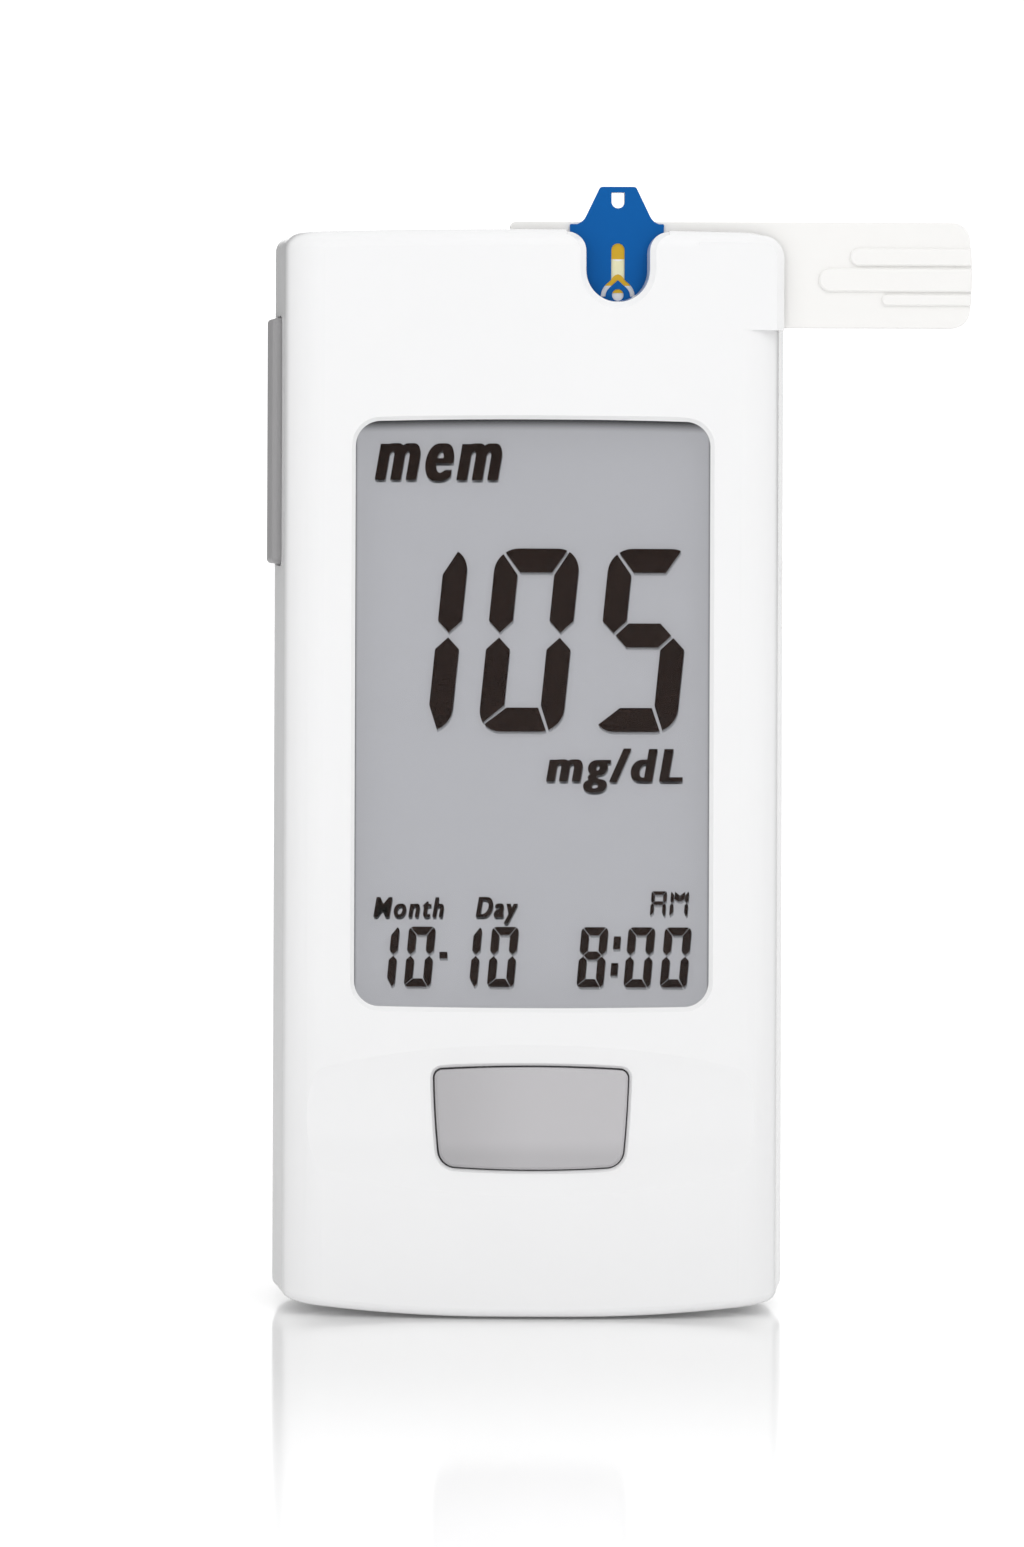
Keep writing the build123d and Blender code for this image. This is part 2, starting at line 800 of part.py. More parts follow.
with BuildPart() as back_shell:
    add(body_form.part)
    split(bisect_by=Plane.XZ, keep=Keep.BOTTOM)
    add(back_cavity.part, mode=Mode.SUBTRACT)

    # Groove for the lip of the front shell
    with BuildPart(mode=Mode.PRIVATE) as lip_groove:
        extrude(lip_outline(0, lip_thickness + lip_fit), amount=-lip_height - 2 * lip_fit)
        extrude(
            lip_outline(0, -2 * lip_fit), amount=-lip_height - 2 * lip_fit, mode=Mode.SUBTRACT
        )
    add(lip_groove.part, mode=Mode.SUBTRACT)

    # Battery compartment: front wall, rib between the cells, room for the cells
    block(
        (bay_x[0] - bay_wall, bay_x[1] + bay_wall),
        (bay_front_y - bay_wall, 0),
        (bay_low - bay_wall, bay_high + bay_wall),
    )
    block(bay_x, (bay_front_y, back_y), bay_z, Mode.SUBTRACT)
    block(
        (-cell_rib / 2, cell_rib / 2),
        (bay_front_y, bay_front_y + cell_rib_height),
        (bay_low + 2 * contact_thickness, bay_high - 2 * contact_thickness),
    )
    for tab_x in (-aaa_pitch / 2, aaa_pitch / 2):
        block(
            (tab_x - contact_tab / 2 - 0.1, tab_x + contact_tab / 2 + 0.1),
            (bay_front_y - bay_wall, bay_front_y),
            (bay_high - contact_thickness - 0.1, bay_high),
            Mode.SUBTRACT,
        )

    # Opening for the battery door
    with BuildSketch(facing(door_inner_y - door_seat_gap)) as door_opening:
        with Locations((0, (door_gap_low_z + door_gap_high_z) / 2)):
            Rectangle(2 * door_gap_x, door_gap_high_z - door_gap_low_z)
        fillet(door_opening.vertices().group_by(Axis.Y)[-1], radius=door_corner + door_fit)
    extrude(amount=-beyond, mode=Mode.SUBTRACT)
    with BuildSketch(Plane.YZ.offset(-door_gap_x)):
        with Locations((hinge_y, hinge_z)):
            Circle(door_bead + door_fit)
    extrude(amount=2 * door_gap_x, mode=Mode.SUBTRACT)
    for tongue_x in tongues_at:
        block(
            (tongue_x - tongue_half, tongue_x + tongue_half),
            (
                tongue_front_y - door_bead - tongue_thickness - tongue_turn_room,
                tongue_back_y + tongue_room,
            ),
            (hinge_z - tongue_reach - tongue_end_room, bay_low - bay_wall),
            Mode.SUBTRACT,
        )
    block(
        (-latch_half, latch_half),
        (latch_floor_y, back_y + beyond),
        latch_space_z,
        Mode.SUBTRACT,
    )

    # Wells and clearance holes for the case screws
    rods(case_screws_at, case_well_radius, case_screw_seat_y, back_y + beyond, Mode.SUBTRACT)
    rods(case_screws_at, case_screw_radius + screw_clearance, 0, case_screw_seat_y, Mode.SUBTRACT)

    # Blind hole for the rear pin of the side key, and the sound holes behind the buzzer
    rods(
        [(key_pivot_x, key_middle_z)],
        key_pin_radius + key_pin_fit,
        0,
        key_back_y + key_rear_pin_reach + 0.15,
        Mode.SUBTRACT,
    )
    with BuildSketch(facing(back_y + 1)):
        with Locations((buzzer_x, buzzer_z)):
            Circle(sound_hole_radius)
            with PolarLocations(sound_hole_circle, 6):
                Circle(sound_hole_radius)
    extrude(amount=2 * wall + 1, mode=Mode.SUBTRACT)

# --- Battery door ---------------------------------------------------------------------------

with BuildPart() as battery_door:
    with BuildSketch(facing(back_y)) as door_plate:
        with Locations((0, (hinge_z + door_high) / 2)):
            Rectangle(door_width, door_high - hinge_z)
        fillet(door_plate.vertices().group_by(Axis.Y)[-1], radius=door_corner)
    extrude(amount=door_thickness)
    with BuildSketch(Plane.YZ.offset(-door_width / 2)):
        with Locations((hinge_y, hinge_z)):
            Circle(door_bead)
    extrude(amount=door_width)
    for tongue_x in tongues_at:
        block(
            (tongue_x - tongue_width / 2, tongue_x + tongue_width / 2),
            (tongue_front_y, tongue_back_y),
            (hinge_z - tongue_reach, hinge_z),
        )

    # Sprung latch: a strip bent into a U that ends as the thumb pad
    block(
        (-latch_half, latch_half),
        (door_inner_y - 1, back_y + 1),
        (latch_low_z + latch_leg / 2, door_high + 1),
        Mode.SUBTRACT,
    )
    latch_high_z = door_high - latch_leg / 2
    latch_bend = (latch_high_z - latch_low_z) / 2
    latch_bend_y = back_y - latch_depth
    with BuildSketch(Plane.YZ.offset(-latch_width / 2)):
        with BuildLine():
            latch_root = Line((back_y - door_thickness / 2, latch_low_z), (latch_bend_y, latch_low_z))
            latch_turn = ThreePointArc(
                latch_root @ 1,
                (latch_bend_y - latch_bend, latch_low_z + latch_bend),
                (latch_bend_y, latch_high_z),
            )
            Line(latch_turn @ 1, (back_y - latch_leg / 2, latch_high_z))
        trace(line_width=latch_leg)
    extrude(amount=latch_width)

    # Finger grooves
    with BuildSketch(Plane.YZ.offset(-door_groove_width / 2)):
        with Locations(
            *[(back_y + door_groove_rise, door_groove_z - door_groove_pitch * step) for step in range(3)]
        ):
            Circle(door_groove_radius)
    extrude(amount=door_groove_width, mode=Mode.SUBTRACT)

# --- Main button and its switch ---------------------------------------------------------------

button_back_y = button_flange_y + button_flange_thickness

with BuildPart() as main_button:
    extrude(button_outline(button_back_y, 0), amount=beyond)
    add(scoop_space(scoop_floor_y - button_proud), mode=Mode.SUBTRACT)
    chamfer(main_button.edges(Select.LAST), length=button_edge)
    extrude(button_outline(button_back_y, button_flange), amount=button_flange_thickness)
    rods([(0, switch_z)], button_post_radius, button_back_y, plunger_front_y)

with BuildPart() as main_switch:
    block(
        (-switch_width / 2, switch_width / 2),
        (switch_front_y, board_front_y),
        (switch_z - switch_width / 2, switch_z + switch_width / 2),
    )
    chamfer(main_switch.edges().filter_by(Axis.Y), length=switch_corner)
    rods(
        [(0, switch_z)],
        plunger_radius + plunger_fit,
        switch_front_y,
        plunger_front_y + plunger_length + button_travel + 2 * plunger_fit,
        Mode.SUBTRACT,
    )
    with BuildSketch(Plane.XY.offset(switch_z - switch_width / 2)) as switch_legs:
        with Locations((0, board_front_y - switch_leg_thickness / 2)):
            Rectangle(switch_width + 2 * switch_leg_reach, switch_leg_thickness)
    extrude(amount=switch_leg_height)
    upper_legs = switch_legs.sketch.moved(Location((0, 0, switch_width - switch_leg_height)))
    extrude(upper_legs, amount=switch_leg_height)

with BuildPart() as main_switch_plunger:
    rods([(0, switch_z)], plunger_radius, plunger_front_y, plunger_front_y + plunger_length)
    chamfer(main_switch_plunger.edges().group_by(Axis.Y)[0], length=plunger_edge)

# --- Side key and its switches ----------------------------------------------------------------

with BuildPart() as side_key:
    with BuildSketch(Plane.XY.offset(key_low)):
        with BuildLine():
            Polyline(
                (-side_x(key_front_y) - key_proud, key_front_y),
                (-side_x(key_back_y) - key_proud, key_back_y),
                (key_flange_x, key_back_y),
                (key_flange_x, key_front_y),
                close=True,
            )
        make_face()
    extrude(amount=key_high - key_low)
    fillet(side_key.edges().filter_by(Axis.X).group_by(Axis.Y)[0], radius=key_corner)
    fillet(side_key.faces().sort_by(Axis.X)[0].edges(), radius=key_edge)
    block(
        (key_flange_x, key_flange_x + key_flange_thickness),
        (key_front_y, key_back_y),
        (key_low - key_flange, key_high + key_flange),
    )
    rods(
        [(key_pivot_x, key_middle_z)],
        key_pin_radius,
        key_front_y - key_pin_reach,
        key_back_y + key_rear_pin_reach,
    )
    for post_z in (key_middle_z - key_post_reach, key_middle_z + key_post_reach):
        block(
            (key_flange_x, side_plunger_x - key_post_gap),
            (side_switch_y - key_post_depth / 2, side_switch_y + key_post_depth / 2),
            (post_z - key_post_height / 2, post_z + key_post_height / 2),
        )

with BuildPart() as side_switches:
    for switch_middle_z in (key_middle_z - key_post_reach, key_middle_z + key_post_reach):
        block(
            (
                side_plunger_x + side_plunger_reach,
                side_plunger_x + side_plunger_reach + side_switch_depth,
            ),
            (board_back_y, board_back_y + side_switch_height),
            (switch_middle_z - side_switch_length / 2, switch_middle_z + side_switch_length / 2),
        )
        block(
            (side_plunger_x, side_plunger_x + side_plunger_reach),
            (side_switch_y - side_plunger_width / 2, side_switch_y + side_plunger_width / 2),
            (switch_middle_z - side_plunger_length / 2, switch_middle_z + side_plunger_length / 2),
        )

# --- Display ----------------------------------------------------------------------------------

with BuildPart() as window_lens:
    add(crowned_sheet(lens_depth, lens_thickness, lens_overlap))

cell_x = (-cell_width / 2, cell_width / 2)
rear_high_z = cell_high_z - cell_ledge
rear_z = (cell_low_z, rear_high_z)
gap_y = (cell_front_y + cell_plate, cell_front_y + cell_plate + cell_gap)
zebra_z = (cell_high_z - zebra_inset - zebra_height, cell_high_z - zebra_inset)

with BuildPart() as lcd_front_plate:
    block(cell_x, (cell_front_y, gap_y[0]), (cell_low_z, cell_high_z))
    chamfer(lcd_front_plate.edges().group_by(Axis.Y)[0], length=0.1)

with BuildPart() as lcd_seal:
    block(cell_x, gap_y, rear_z)
    block(
        (cell_x[0] + seal_width, cell_x[1] - seal_width),
        gap_y,
        (rear_z[0] + seal_width, rear_z[1] - seal_width),
        Mode.SUBTRACT,
    )

with BuildPart() as lcd_rear_plate:
    block(cell_x, (gap_y[1], cell_back_y), rear_z)

with BuildPart() as lcd_reflector:
    block(cell_x, (cell_back_y, cell_back_y + reflector_thickness), rear_z)

with BuildPart() as lcd_frame:
    ledge_y = cell_back_y + reflector_thickness
    pocket_x = cell_width / 2 + cell_fit
    block(
        (-lcd_frame_x, lcd_frame_x),
        (lcd_frame_front_y, board_front_y),
        (cell_low_z - cell_fit - lcd_frame_wall, cell_high_z + cell_fit + lcd_frame_wall),
    )
    fillet(lcd_frame.edges().filter_by(Axis.Y), radius=lcd_frame_corner)
    block(
        (-pocket_x, pocket_x),
        (cell_front_y, ledge_y),
        (cell_low_z - cell_fit, cell_high_z + cell_fit),
        Mode.SUBTRACT,
    )
    block(
        (-pocket_x + lcd_frame_ledge, pocket_x - lcd_frame_ledge),
        (ledge_y, board_front_y),
        (cell_low_z - cell_fit + lcd_frame_ledge, rear_high_z - lcd_frame_ledge),
        Mode.SUBTRACT,
    )
    block(
        (-zebra_width / 2 - zebra_fit, zebra_width / 2 + zebra_fit),
        (ledge_y, board_front_y),
        (zebra_z[0] - zebra_fit, zebra_z[1] + zebra_fit),
        Mode.SUBTRACT,
    )

with BuildPart() as zebra_connector:
    block((-zebra_width / 2, zebra_width / 2), (gap_y[0], board_front_y), zebra_z)

# --- Main board and what it carries -----------------------------------------------------------

with BuildPart() as main_board:
    with BuildSketch(facing(board_back_y)) as board_outline:
        with Locations((0, (board_low + board_high) / 2)):
            Rectangle(board_width, board_high - board_low)
        with Locations((-board_width / 2, key_middle_z)):
            Rectangle(
                board_width - 2 * board_key_x,
                key_high - key_low + 2 * board_key_room,
                mode=Mode.SUBTRACT,
            )
        for side in (-1, 1):
            with Locations((side * board_width / 2, board_high)):
                Rectangle(
                    board_width - 2 * (case_screw_x - case_boss_radius - board_boss_fit),
                    2 * (board_high - case_screw_high_z + case_boss_radius + board_boss_fit),
                    mode=Mode.SUBTRACT,
                )
            with Locations((side * case_screw_x, case_screw_low_z)):
                Circle(case_boss_radius + board_boss_fit, mode=Mode.SUBTRACT)
        fillet(board_outline.vertices().group_by(Axis.Y)[0], radius=board_corner)
        with Locations(*board_screws_at):
            Circle(board_screw_radius + board_hole_fit, mode=Mode.SUBTRACT)
    extrude(amount=board_thickness)

with BuildPart() as processor:
    block(
        (processor_x - processor_size / 2, processor_x + processor_size / 2),
        (board_back_y, board_back_y + processor_thickness),
        (processor_z - processor_size / 2, processor_z + processor_size / 2),
    )
    chamfer(processor.edges().group_by(Axis.Y)[-1], length=chip_edge)
    pin_mark_reach = processor_size / 2 - pin_mark_inset
    rods(
        [(processor_x - pin_mark_reach, processor_z + pin_mark_reach)],
        pin_mark_radius,
        board_back_y + processor_thickness - pin_mark_depth,
        board_back_y + processor_thickness,
        Mode.SUBTRACT,
    )

with BuildPart() as amplifier_chips:
    for chip_x in amplifiers_x:
        half_chip = amplifier_width / 2
        block(
            (chip_x - half_chip, chip_x + half_chip),
            (board_back_y, board_back_y + amplifier_thickness),
            (amplifier_z - amplifier_height / 2, amplifier_z + amplifier_height / 2),
        )
        for lead_z in [amplifier_z + lead_pitch * step for step in (-1.5, -0.5, 0.5, 1.5)]:
            block(
                (chip_x - half_chip - amplifier_lead, chip_x + half_chip + amplifier_lead),
                (board_back_y, board_back_y + lead_thickness),
                (lead_z - lead_width / 2, lead_z + lead_width / 2),
            )

with BuildPart() as crystal:
    with BuildSketch(Plane.XY.offset(crystal_low_z)):
        with Locations((crystal_x, board_back_y + crystal_radius)):
            Circle(crystal_radius)
    extrude(amount=crystal_length)
    chamfer(crystal.edges().group_by(Axis.Z)[-1], length=chip_edge)

with BuildPart() as capacitors:
    with BuildSketch(facing(board_back_y + capacitor_thickness)):
        with Locations((capacitor_x, capacitor_z)):
            with GridLocations(capacitor_pitch_x, capacitor_pitch_z, 2, 4):
                Rectangle(capacitor_width, capacitor_height)
    extrude(amount=capacitor_thickness)

with BuildPart() as buzzer:
    buzzer_back_y = board_back_y + buzzer_height
    rods([(buzzer_x, buzzer_z)], buzzer_radius, board_back_y, buzzer_back_y)
    chamfer(buzzer.edges().group_by(Axis.Y)[-1], length=buzzer_edge)
    rods(
        [(buzzer_x, buzzer_z)],
        buzzer_port_radius,
        board_back_y + buzzer_floor,
        buzzer_back_y,
        Mode.SUBTRACT,
    )

# --- Strip port and its contacts --------------------------------------------------------------

port_contacts_z = [
    strip_low_z + port_contact_low + port_contact_pitch * number for number in range(4)
]

with BuildPart() as strip_port:
    block(
        (port_pad_left_x - port_body_left, port_pad_right_x + port_body_right),
        (slot_back_y + slot_rear_wall + 0.05, board_front_y),
        (port_pad_low_z - port_body_low, board_high - 0.2),
    )
    block(
        (port_pad_left_x, port_pad_right_x),
        (slot_back_y + 0.1, board_front_y),
        (port_pad_low_z, port_pad_high_z),
    )
    for contact_z in port_contacts_z:
        block(
            (port_pad_left_x - port_body_left - 0.1, port_pad_right_x - 0.5),
            (slot_back_y, board_front_y),
            (contact_z - port_contact_width / 2 - 0.1, contact_z + port_contact_width / 2 + 0.1),
            Mode.SUBTRACT,
        )

with BuildPart() as port_contacts:
    with BuildSketch(Plane.XY) as contact_section:
        with BuildLine():
            FilletPolyline(
                (port_pad_left_x - port_contact_tail, board_front_y - port_contact_thickness / 2),
                (port_pad_left_x - port_contact_knee, board_front_y - port_contact_thickness / 2),
                (port_pad_left_x + port_contact_crest, strip_back_y + port_contact_gap),
                (port_pad_left_x + port_contact_tip, slot_back_y + port_contact_drop),
                radius=port_contact_bend,
            )
        trace(line_width=port_contact_thickness)
    for contact_z in port_contacts_z:
        extrude(
            contact_section.sketch.moved(Location((0, 0, contact_z - port_contact_width / 2))),
            amount=port_contact_width,
        )

# --- Batteries and their contacts -------------------------------------------------------------

aaa_bottom_gap = contact_thickness + leaf_space
left_cell_z = bay_low + aaa_bottom_gap
right_cell_z = bay_high - aaa_bottom_gap


def aaa_cell(low_z, nub_up):
    """One AAA cell that stands at low_z, with its nub at the upper or the lower end."""
    with BuildPart() as cell:
        with BuildSketch(Plane.XZ):
            with BuildLine():
                Polyline(
                    (0, 0),
                    (aaa_radius - aaa_crimp, 0),
                    (aaa_radius - aaa_crimp, aaa_rim),
                    (aaa_radius, aaa_rim + aaa_crimp),
                    (aaa_radius, aaa_length - aaa_nub_height - aaa_crimp),
                    (aaa_radius - aaa_crimp, aaa_length - aaa_nub_height),
                    (aaa_nub_radius, aaa_length - aaa_nub_height),
                    (aaa_nub_radius, aaa_length - aaa_nub_edge),
                    (aaa_nub_radius - aaa_nub_edge, aaa_length),
                    (0, aaa_length),
                    close=True,
                )
            make_face()
        revolve(axis=Axis.Z)
    if nub_up:
        return cell.part.moved(Location((-aaa_pitch / 2, aaa_y, low_z)))
    return cell.part.moved(
        Location((aaa_pitch / 2, aaa_y, low_z + aaa_length), (180, 0, 0))
    )


battery_left = aaa_cell(left_cell_z, True)
battery_right = aaa_cell(right_cell_z - aaa_length, False)


def contact_leaf():
    """Sprung leaf of a battery contact, bent up from a plate at z = 0 towards the cell's end."""
    with BuildPart() as leaf:
        with BuildSketch(Plane.XZ.offset(leaf_width / 2)):
            with BuildLine():
                FilletPolyline(
                    (-contact_width / 2 + leaf_margin, -contact_thickness / 2),
                    (-leaf_foot, -contact_thickness / 2),
                    (leaf_nose_x, leaf_rise),
                    (leaf_nose_x + leaf_tail, leaf_rise - leaf_tail_drop),
                    radius=leaf_bend,
                )
            trace(line_width=contact_thickness)
        extrude(amount=-leaf_width)
    return leaf.part


with BuildPart() as battery_bridge:
    block(
        (-contact_reach, contact_reach),
        (aaa_y - contact_width / 2, aaa_y + contact_width / 2),
        (bay_low, bay_low + contact_thickness),
    )
    with Locations((aaa_pitch / 2, aaa_y, bay_low + contact_thickness)):
        Cone(
            contact_dimple_foot,
            contact_dimple_top,
            contact_dimple,
            align=(Align.CENTER, Align.CENTER, Align.MIN),
        )
    add(contact_leaf().moved(Location((-aaa_pitch / 2, aaa_y, bay_low + contact_thickness))))


def top_contact(middle_x):
    """Contact plate at the upper end of one cell, with its tab to the main board."""
    block(
        (middle_x - contact_width / 2, middle_x + contact_width / 2),
        (aaa_y - contact_width / 2, aaa_y + contact_width / 2),
        (bay_high - contact_thickness, bay_high),
    )
    block(
        (middle_x - contact_tab / 2, middle_x + contact_tab / 2),
        (board_back_y, aaa_y),
        (bay_high - contact_thickness, bay_high),
    )


with BuildPart() as positive_contact:
    top_contact(-aaa_pitch / 2)
    with Locations((-aaa_pitch / 2, aaa_y, bay_high - contact_thickness)):
        Cone(
            contact_dimple_top,
            contact_dimple_foot,
            contact_dimple,
            align=(Align.CENTER, Align.CENTER, Align.MAX),
        )

with BuildPart() as negative_contact:
    top_contact(aaa_pitch / 2)
    add(
        contact_leaf()
        .rotate(Axis.X, 180)
        .moved(Location((aaa_pitch / 2, aaa_y, bay_high - contact_thickness)))
    )

# --- Screws -----------------------------------------------------------------------------------

with BuildPart() as case_screws:
    rods(
        case_screws_at,
        case_screw_radius,
        case_screw_seat_y - case_screw_length,
        case_screw_seat_y,
    )
    rods(
        case_screws_at,
        case_screw_head_radius,
        case_screw_seat_y,
        case_screw_seat_y + case_screw_head_height,
    )
    chamfer(case_screws.edges().group_by(Axis.Y)[-1], length=case_screw_edge)

with BuildPart() as board_screws:
    rods(
        board_screws_at,
        board_screw_radius,
        board_back_y - board_screw_length,
        board_back_y,
    )
    rods(
        board_screws_at,
        board_screw_head_radius,
        board_back_y,
        board_back_y + board_screw_head_height,
    )
    chamfer(board_screws.edges().group_by(Axis.Y)[-1], length=board_screw_edge)

# --- Test strip -------------------------------------------------------------------------------

grip_right_x = strip_left_x + strip_length
channel_x = (nose_x - channel_width / 2, nose_x + channel_width / 2)


def nose_outline(y, inset):
    """Outline of the sample nose that stands above the strip, with its hollow-curved foot."""
    with BuildSketch(facing(y)) as outline:
        with BuildLine():
            tip = nose_top_width / 2 - inset
            foot_half = nose_foot_width / 2 - inset
            fillet_half = nose_fillet_width / 2 - inset
            flank = Line((tip, nose_top_z - inset), (foot_half, nose_foot_z))
            TangentArc(flank @ 1, (fillet_half, label_top_z - inset), tangent=flank % 1)
            Polyline((fillet_half, label_top_z - inset), (fillet_half, label_low_z), (0, label_low_z))
            Line((0, nose_top_z - inset), (tip, nose_top_z - inset))
            mirror(about=Plane.YZ)
        make_face()
        fillet(outline.vertices().group_by(Axis.Y)[-1], radius=nose_corner)
    return outline.sketch.moved(Location((nose_x, 0, 0)))


def inlet_cut():
    """Opening in the tip of the nose where the sample enters, round at its lower end."""
    inlet_turn_z = inlet_low_z + inlet_width / 2
    with BuildSketch(facing(strip_back_y)) as inlet:
        with Locations((nose_x, inlet_turn_z)):
            Circle(inlet_width / 2)
        with Locations((nose_x, (inlet_turn_z + inlet_high_z) / 2)):
            Rectangle(inlet_width, inlet_high_z - inlet_turn_z)
    extrude(inlet.sketch, amount=beyond, mode=Mode.SUBTRACT)


with BuildPart() as strip_electrodes:
    for contact_z in port_contacts_z:
        block(
            (strip_left_x + electrode_margin, nose_x + electrode_overrun),
            (strip_back_y - electrode_depth, strip_back_y),
            (contact_z - electrode_width / 2, contact_z + electrode_width / 2),
        )
    working_low_z = port_contacts_z[3] - electrode_width / 2
    counter_low_z = port_contacts_z[2] - electrode_width / 2
    block(
        channel_x,
        (strip_front_y, strip_back_y - electrode_depth),
        (channel_top_z - fill_electrode_height, channel_top_z + electrode_fit),
    )
    block(
        channel_x,
        (strip_back_y - 2 * electrode_depth, strip_back_y),
        (working_low_z, channel_top_z + electrode_fit),
    )
    block(
        (nose_x - counter_electrode_width / 2, nose_x + counter_electrode_width / 2),
        (strip_front_y, strip_back_y),
        (counter_low_z, counter_low_z + counter_electrode_height),
    )

with BuildPart() as strip_base:
    with BuildSketch(facing(strip_back_y)) as strip_outline:
        with BuildLine():
            Polyline(
                (grip_right_x - grip_bow, strip_high_z),
                (strip_left_x, strip_high_z),
                (strip_left_x, strip_low_z),
                (grip_right_x - grip_bow, strip_low_z),
            )
            ThreePointArc(
                (grip_right_x - grip_bow, strip_low_z),
                (grip_right_x, (strip_low_z + strip_high_z) / 2),
                (grip_right_x - grip_bow, strip_high_z),
            )
        make_face()
        fillet(strip_outline.vertices().group_by(Axis.X)[-1], radius=grip_corner)
        fillet(strip_outline.vertices().group_by(Axis.X)[0], radius=strip_corner)
    extrude(amount=strip_thickness)
    extrude(nose_outline(strip_back_y, base_inset), amount=strip_thickness)
    grip_edges = strip_base.edges().filter_by(Axis.Y, reverse=True)
    fillet(
        grip_edges.filter_by_position(Axis.X, grip_left_x, grip_right_x + 1)
        .filter_by_position(Axis.Y, strip_front_y - 0.01, strip_front_y + 0.01),
        radius=grip_edge,
    )

    # Grip shaped like a hand's fingers, each one a raised pad with a rounded end
    for finger_left_x, finger_low_z, finger_high_z in fingers:
        with BuildSketch(facing(strip_front_y)):
            with BuildLine():
                finger_end = (finger_high_z - finger_low_z - grip_groove) / 2
                finger_z = (finger_low_z + finger_high_z) / 2
                Polyline(
                    (grip_right_x, finger_z + finger_end),
                    (finger_left_x + finger_end, finger_z + finger_end),
                )
                ThreePointArc(
                    (finger_left_x + finger_end, finger_z + finger_end),
                    (finger_left_x, finger_z),
                    (finger_left_x + finger_end, finger_z - finger_end),
                )
                Polyline(
                    (finger_left_x + finger_end, finger_z - finger_end),
                    (grip_right_x, finger_z - finger_end),
                    (grip_right_x, finger_z + finger_end),
                )
            make_face()
            add(strip_outline.sketch_local, mode=Mode.INTERSECT)
        extrude(amount=grip_relief)
        chamfer(strip_base.edges(Select.LAST).group_by(Axis.Y)[0], length=grip_edge)
    add(strip_electrodes.part, mode=Mode.SUBTRACT)
    inlet_cut()

with BuildPart() as strip_cover:
    with BuildSketch(facing(strip_front_y)) as label:
        with Locations((notch_x, (label_low_z + label_top_z) / 2)):
            Rectangle(label_width, label_top_z - label_low_z)
        fillet(label.vertices(), radius=label_corner)
    extrude(amount=film_thickness)
    extrude(nose_outline(strip_front_y, 0), amount=film_thickness)
    inlet_cut()

    # Channel window: a straight slot that parts round the drop-shaped island
    reach = island_tip_z - island_z
    tangent_z = island_radius**2 / reach
    tangent_x = sqrt(island_radius**2 - tangent_z**2)
    with BuildSketch(facing(strip_front_y)):
        with BuildSketch(mode=Mode.PRIVATE) as island:
            with Locations((nose_x, island_z)):
                Circle(island_radius)
                Polygon(
                    (0, reach), (tangent_x, tangent_z), (-tangent_x, tangent_z), align=None
                )
        add(island.sketch)
        offset(amount=channel_arm)
        with Locations((nose_x, island_z - island_radius)):
            Rectangle(4 * island_radius, 2 * island_radius, mode=Mode.SUBTRACT)
        channel_turn_z = channel_top_z - channel_width / 2
        with Locations((nose_x, channel_turn_z)):
            Circle(channel_width / 2)
        with Locations((nose_x, (channel_turn_z + island_tip_z) / 2)):
            Rectangle(channel_width, channel_turn_z - island_tip_z)
        add(island.sketch, mode=Mode.SUBTRACT)
        with Locations((nose_x, island_z + vent_rise)):
            Circle(vent_radius)
    extrude(amount=film_thickness, mode=Mode.SUBTRACT)

# --- Export -----------------------------------------------------------------------------------

pieces = {
    "front_shell": front_shell.part,
    "back_shell": back_shell.part,
    "battery_door": battery_door.part,
    "main_button": main_button.part,
    "main_switch": main_switch.part,
    "main_switch_plunger": main_switch_plunger.part,
    "side_key": side_key.part,
    "side_switches": side_switches.part,
    "window_lens": window_lens.part,
    "lcd_front_plate": lcd_front_plate.part,
    "lcd_seal": lcd_seal.part,
    "lcd_rear_plate": lcd_rear_plate.part,
    "lcd_reflector": lcd_reflector.part,
    "lcd_frame": lcd_frame.part,
    "zebra_connector": zebra_connector.part,
    "main_board": main_board.part,
    "processor": processor.part,
    "amplifier_chips": amplifier_chips.part,
    "crystal": crystal.part,
    "capacitors": capacitors.part,
    "buzzer": buzzer.part,
    "strip_port": strip_port.part,
    "port_contacts": port_contacts.part,
    "battery_left": battery_left,
    "battery_right": battery_right,
    "battery_bridge": battery_bridge.part,
    "positive_contact": positive_contact.part,
    "negative_contact": negative_contact.part,
    "case_screws": case_screws.part,
    "board_screws": board_screws.part,
    "strip_base": strip_base.part,
    "strip_cover": strip_cover.part,
    "strip_electrodes": strip_electrodes.part,
}
for name, piece in pieces.items():
    piece.label = name
    export_step(piece, f"parts/{name}.step")
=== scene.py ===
from math import cos, radians, sin

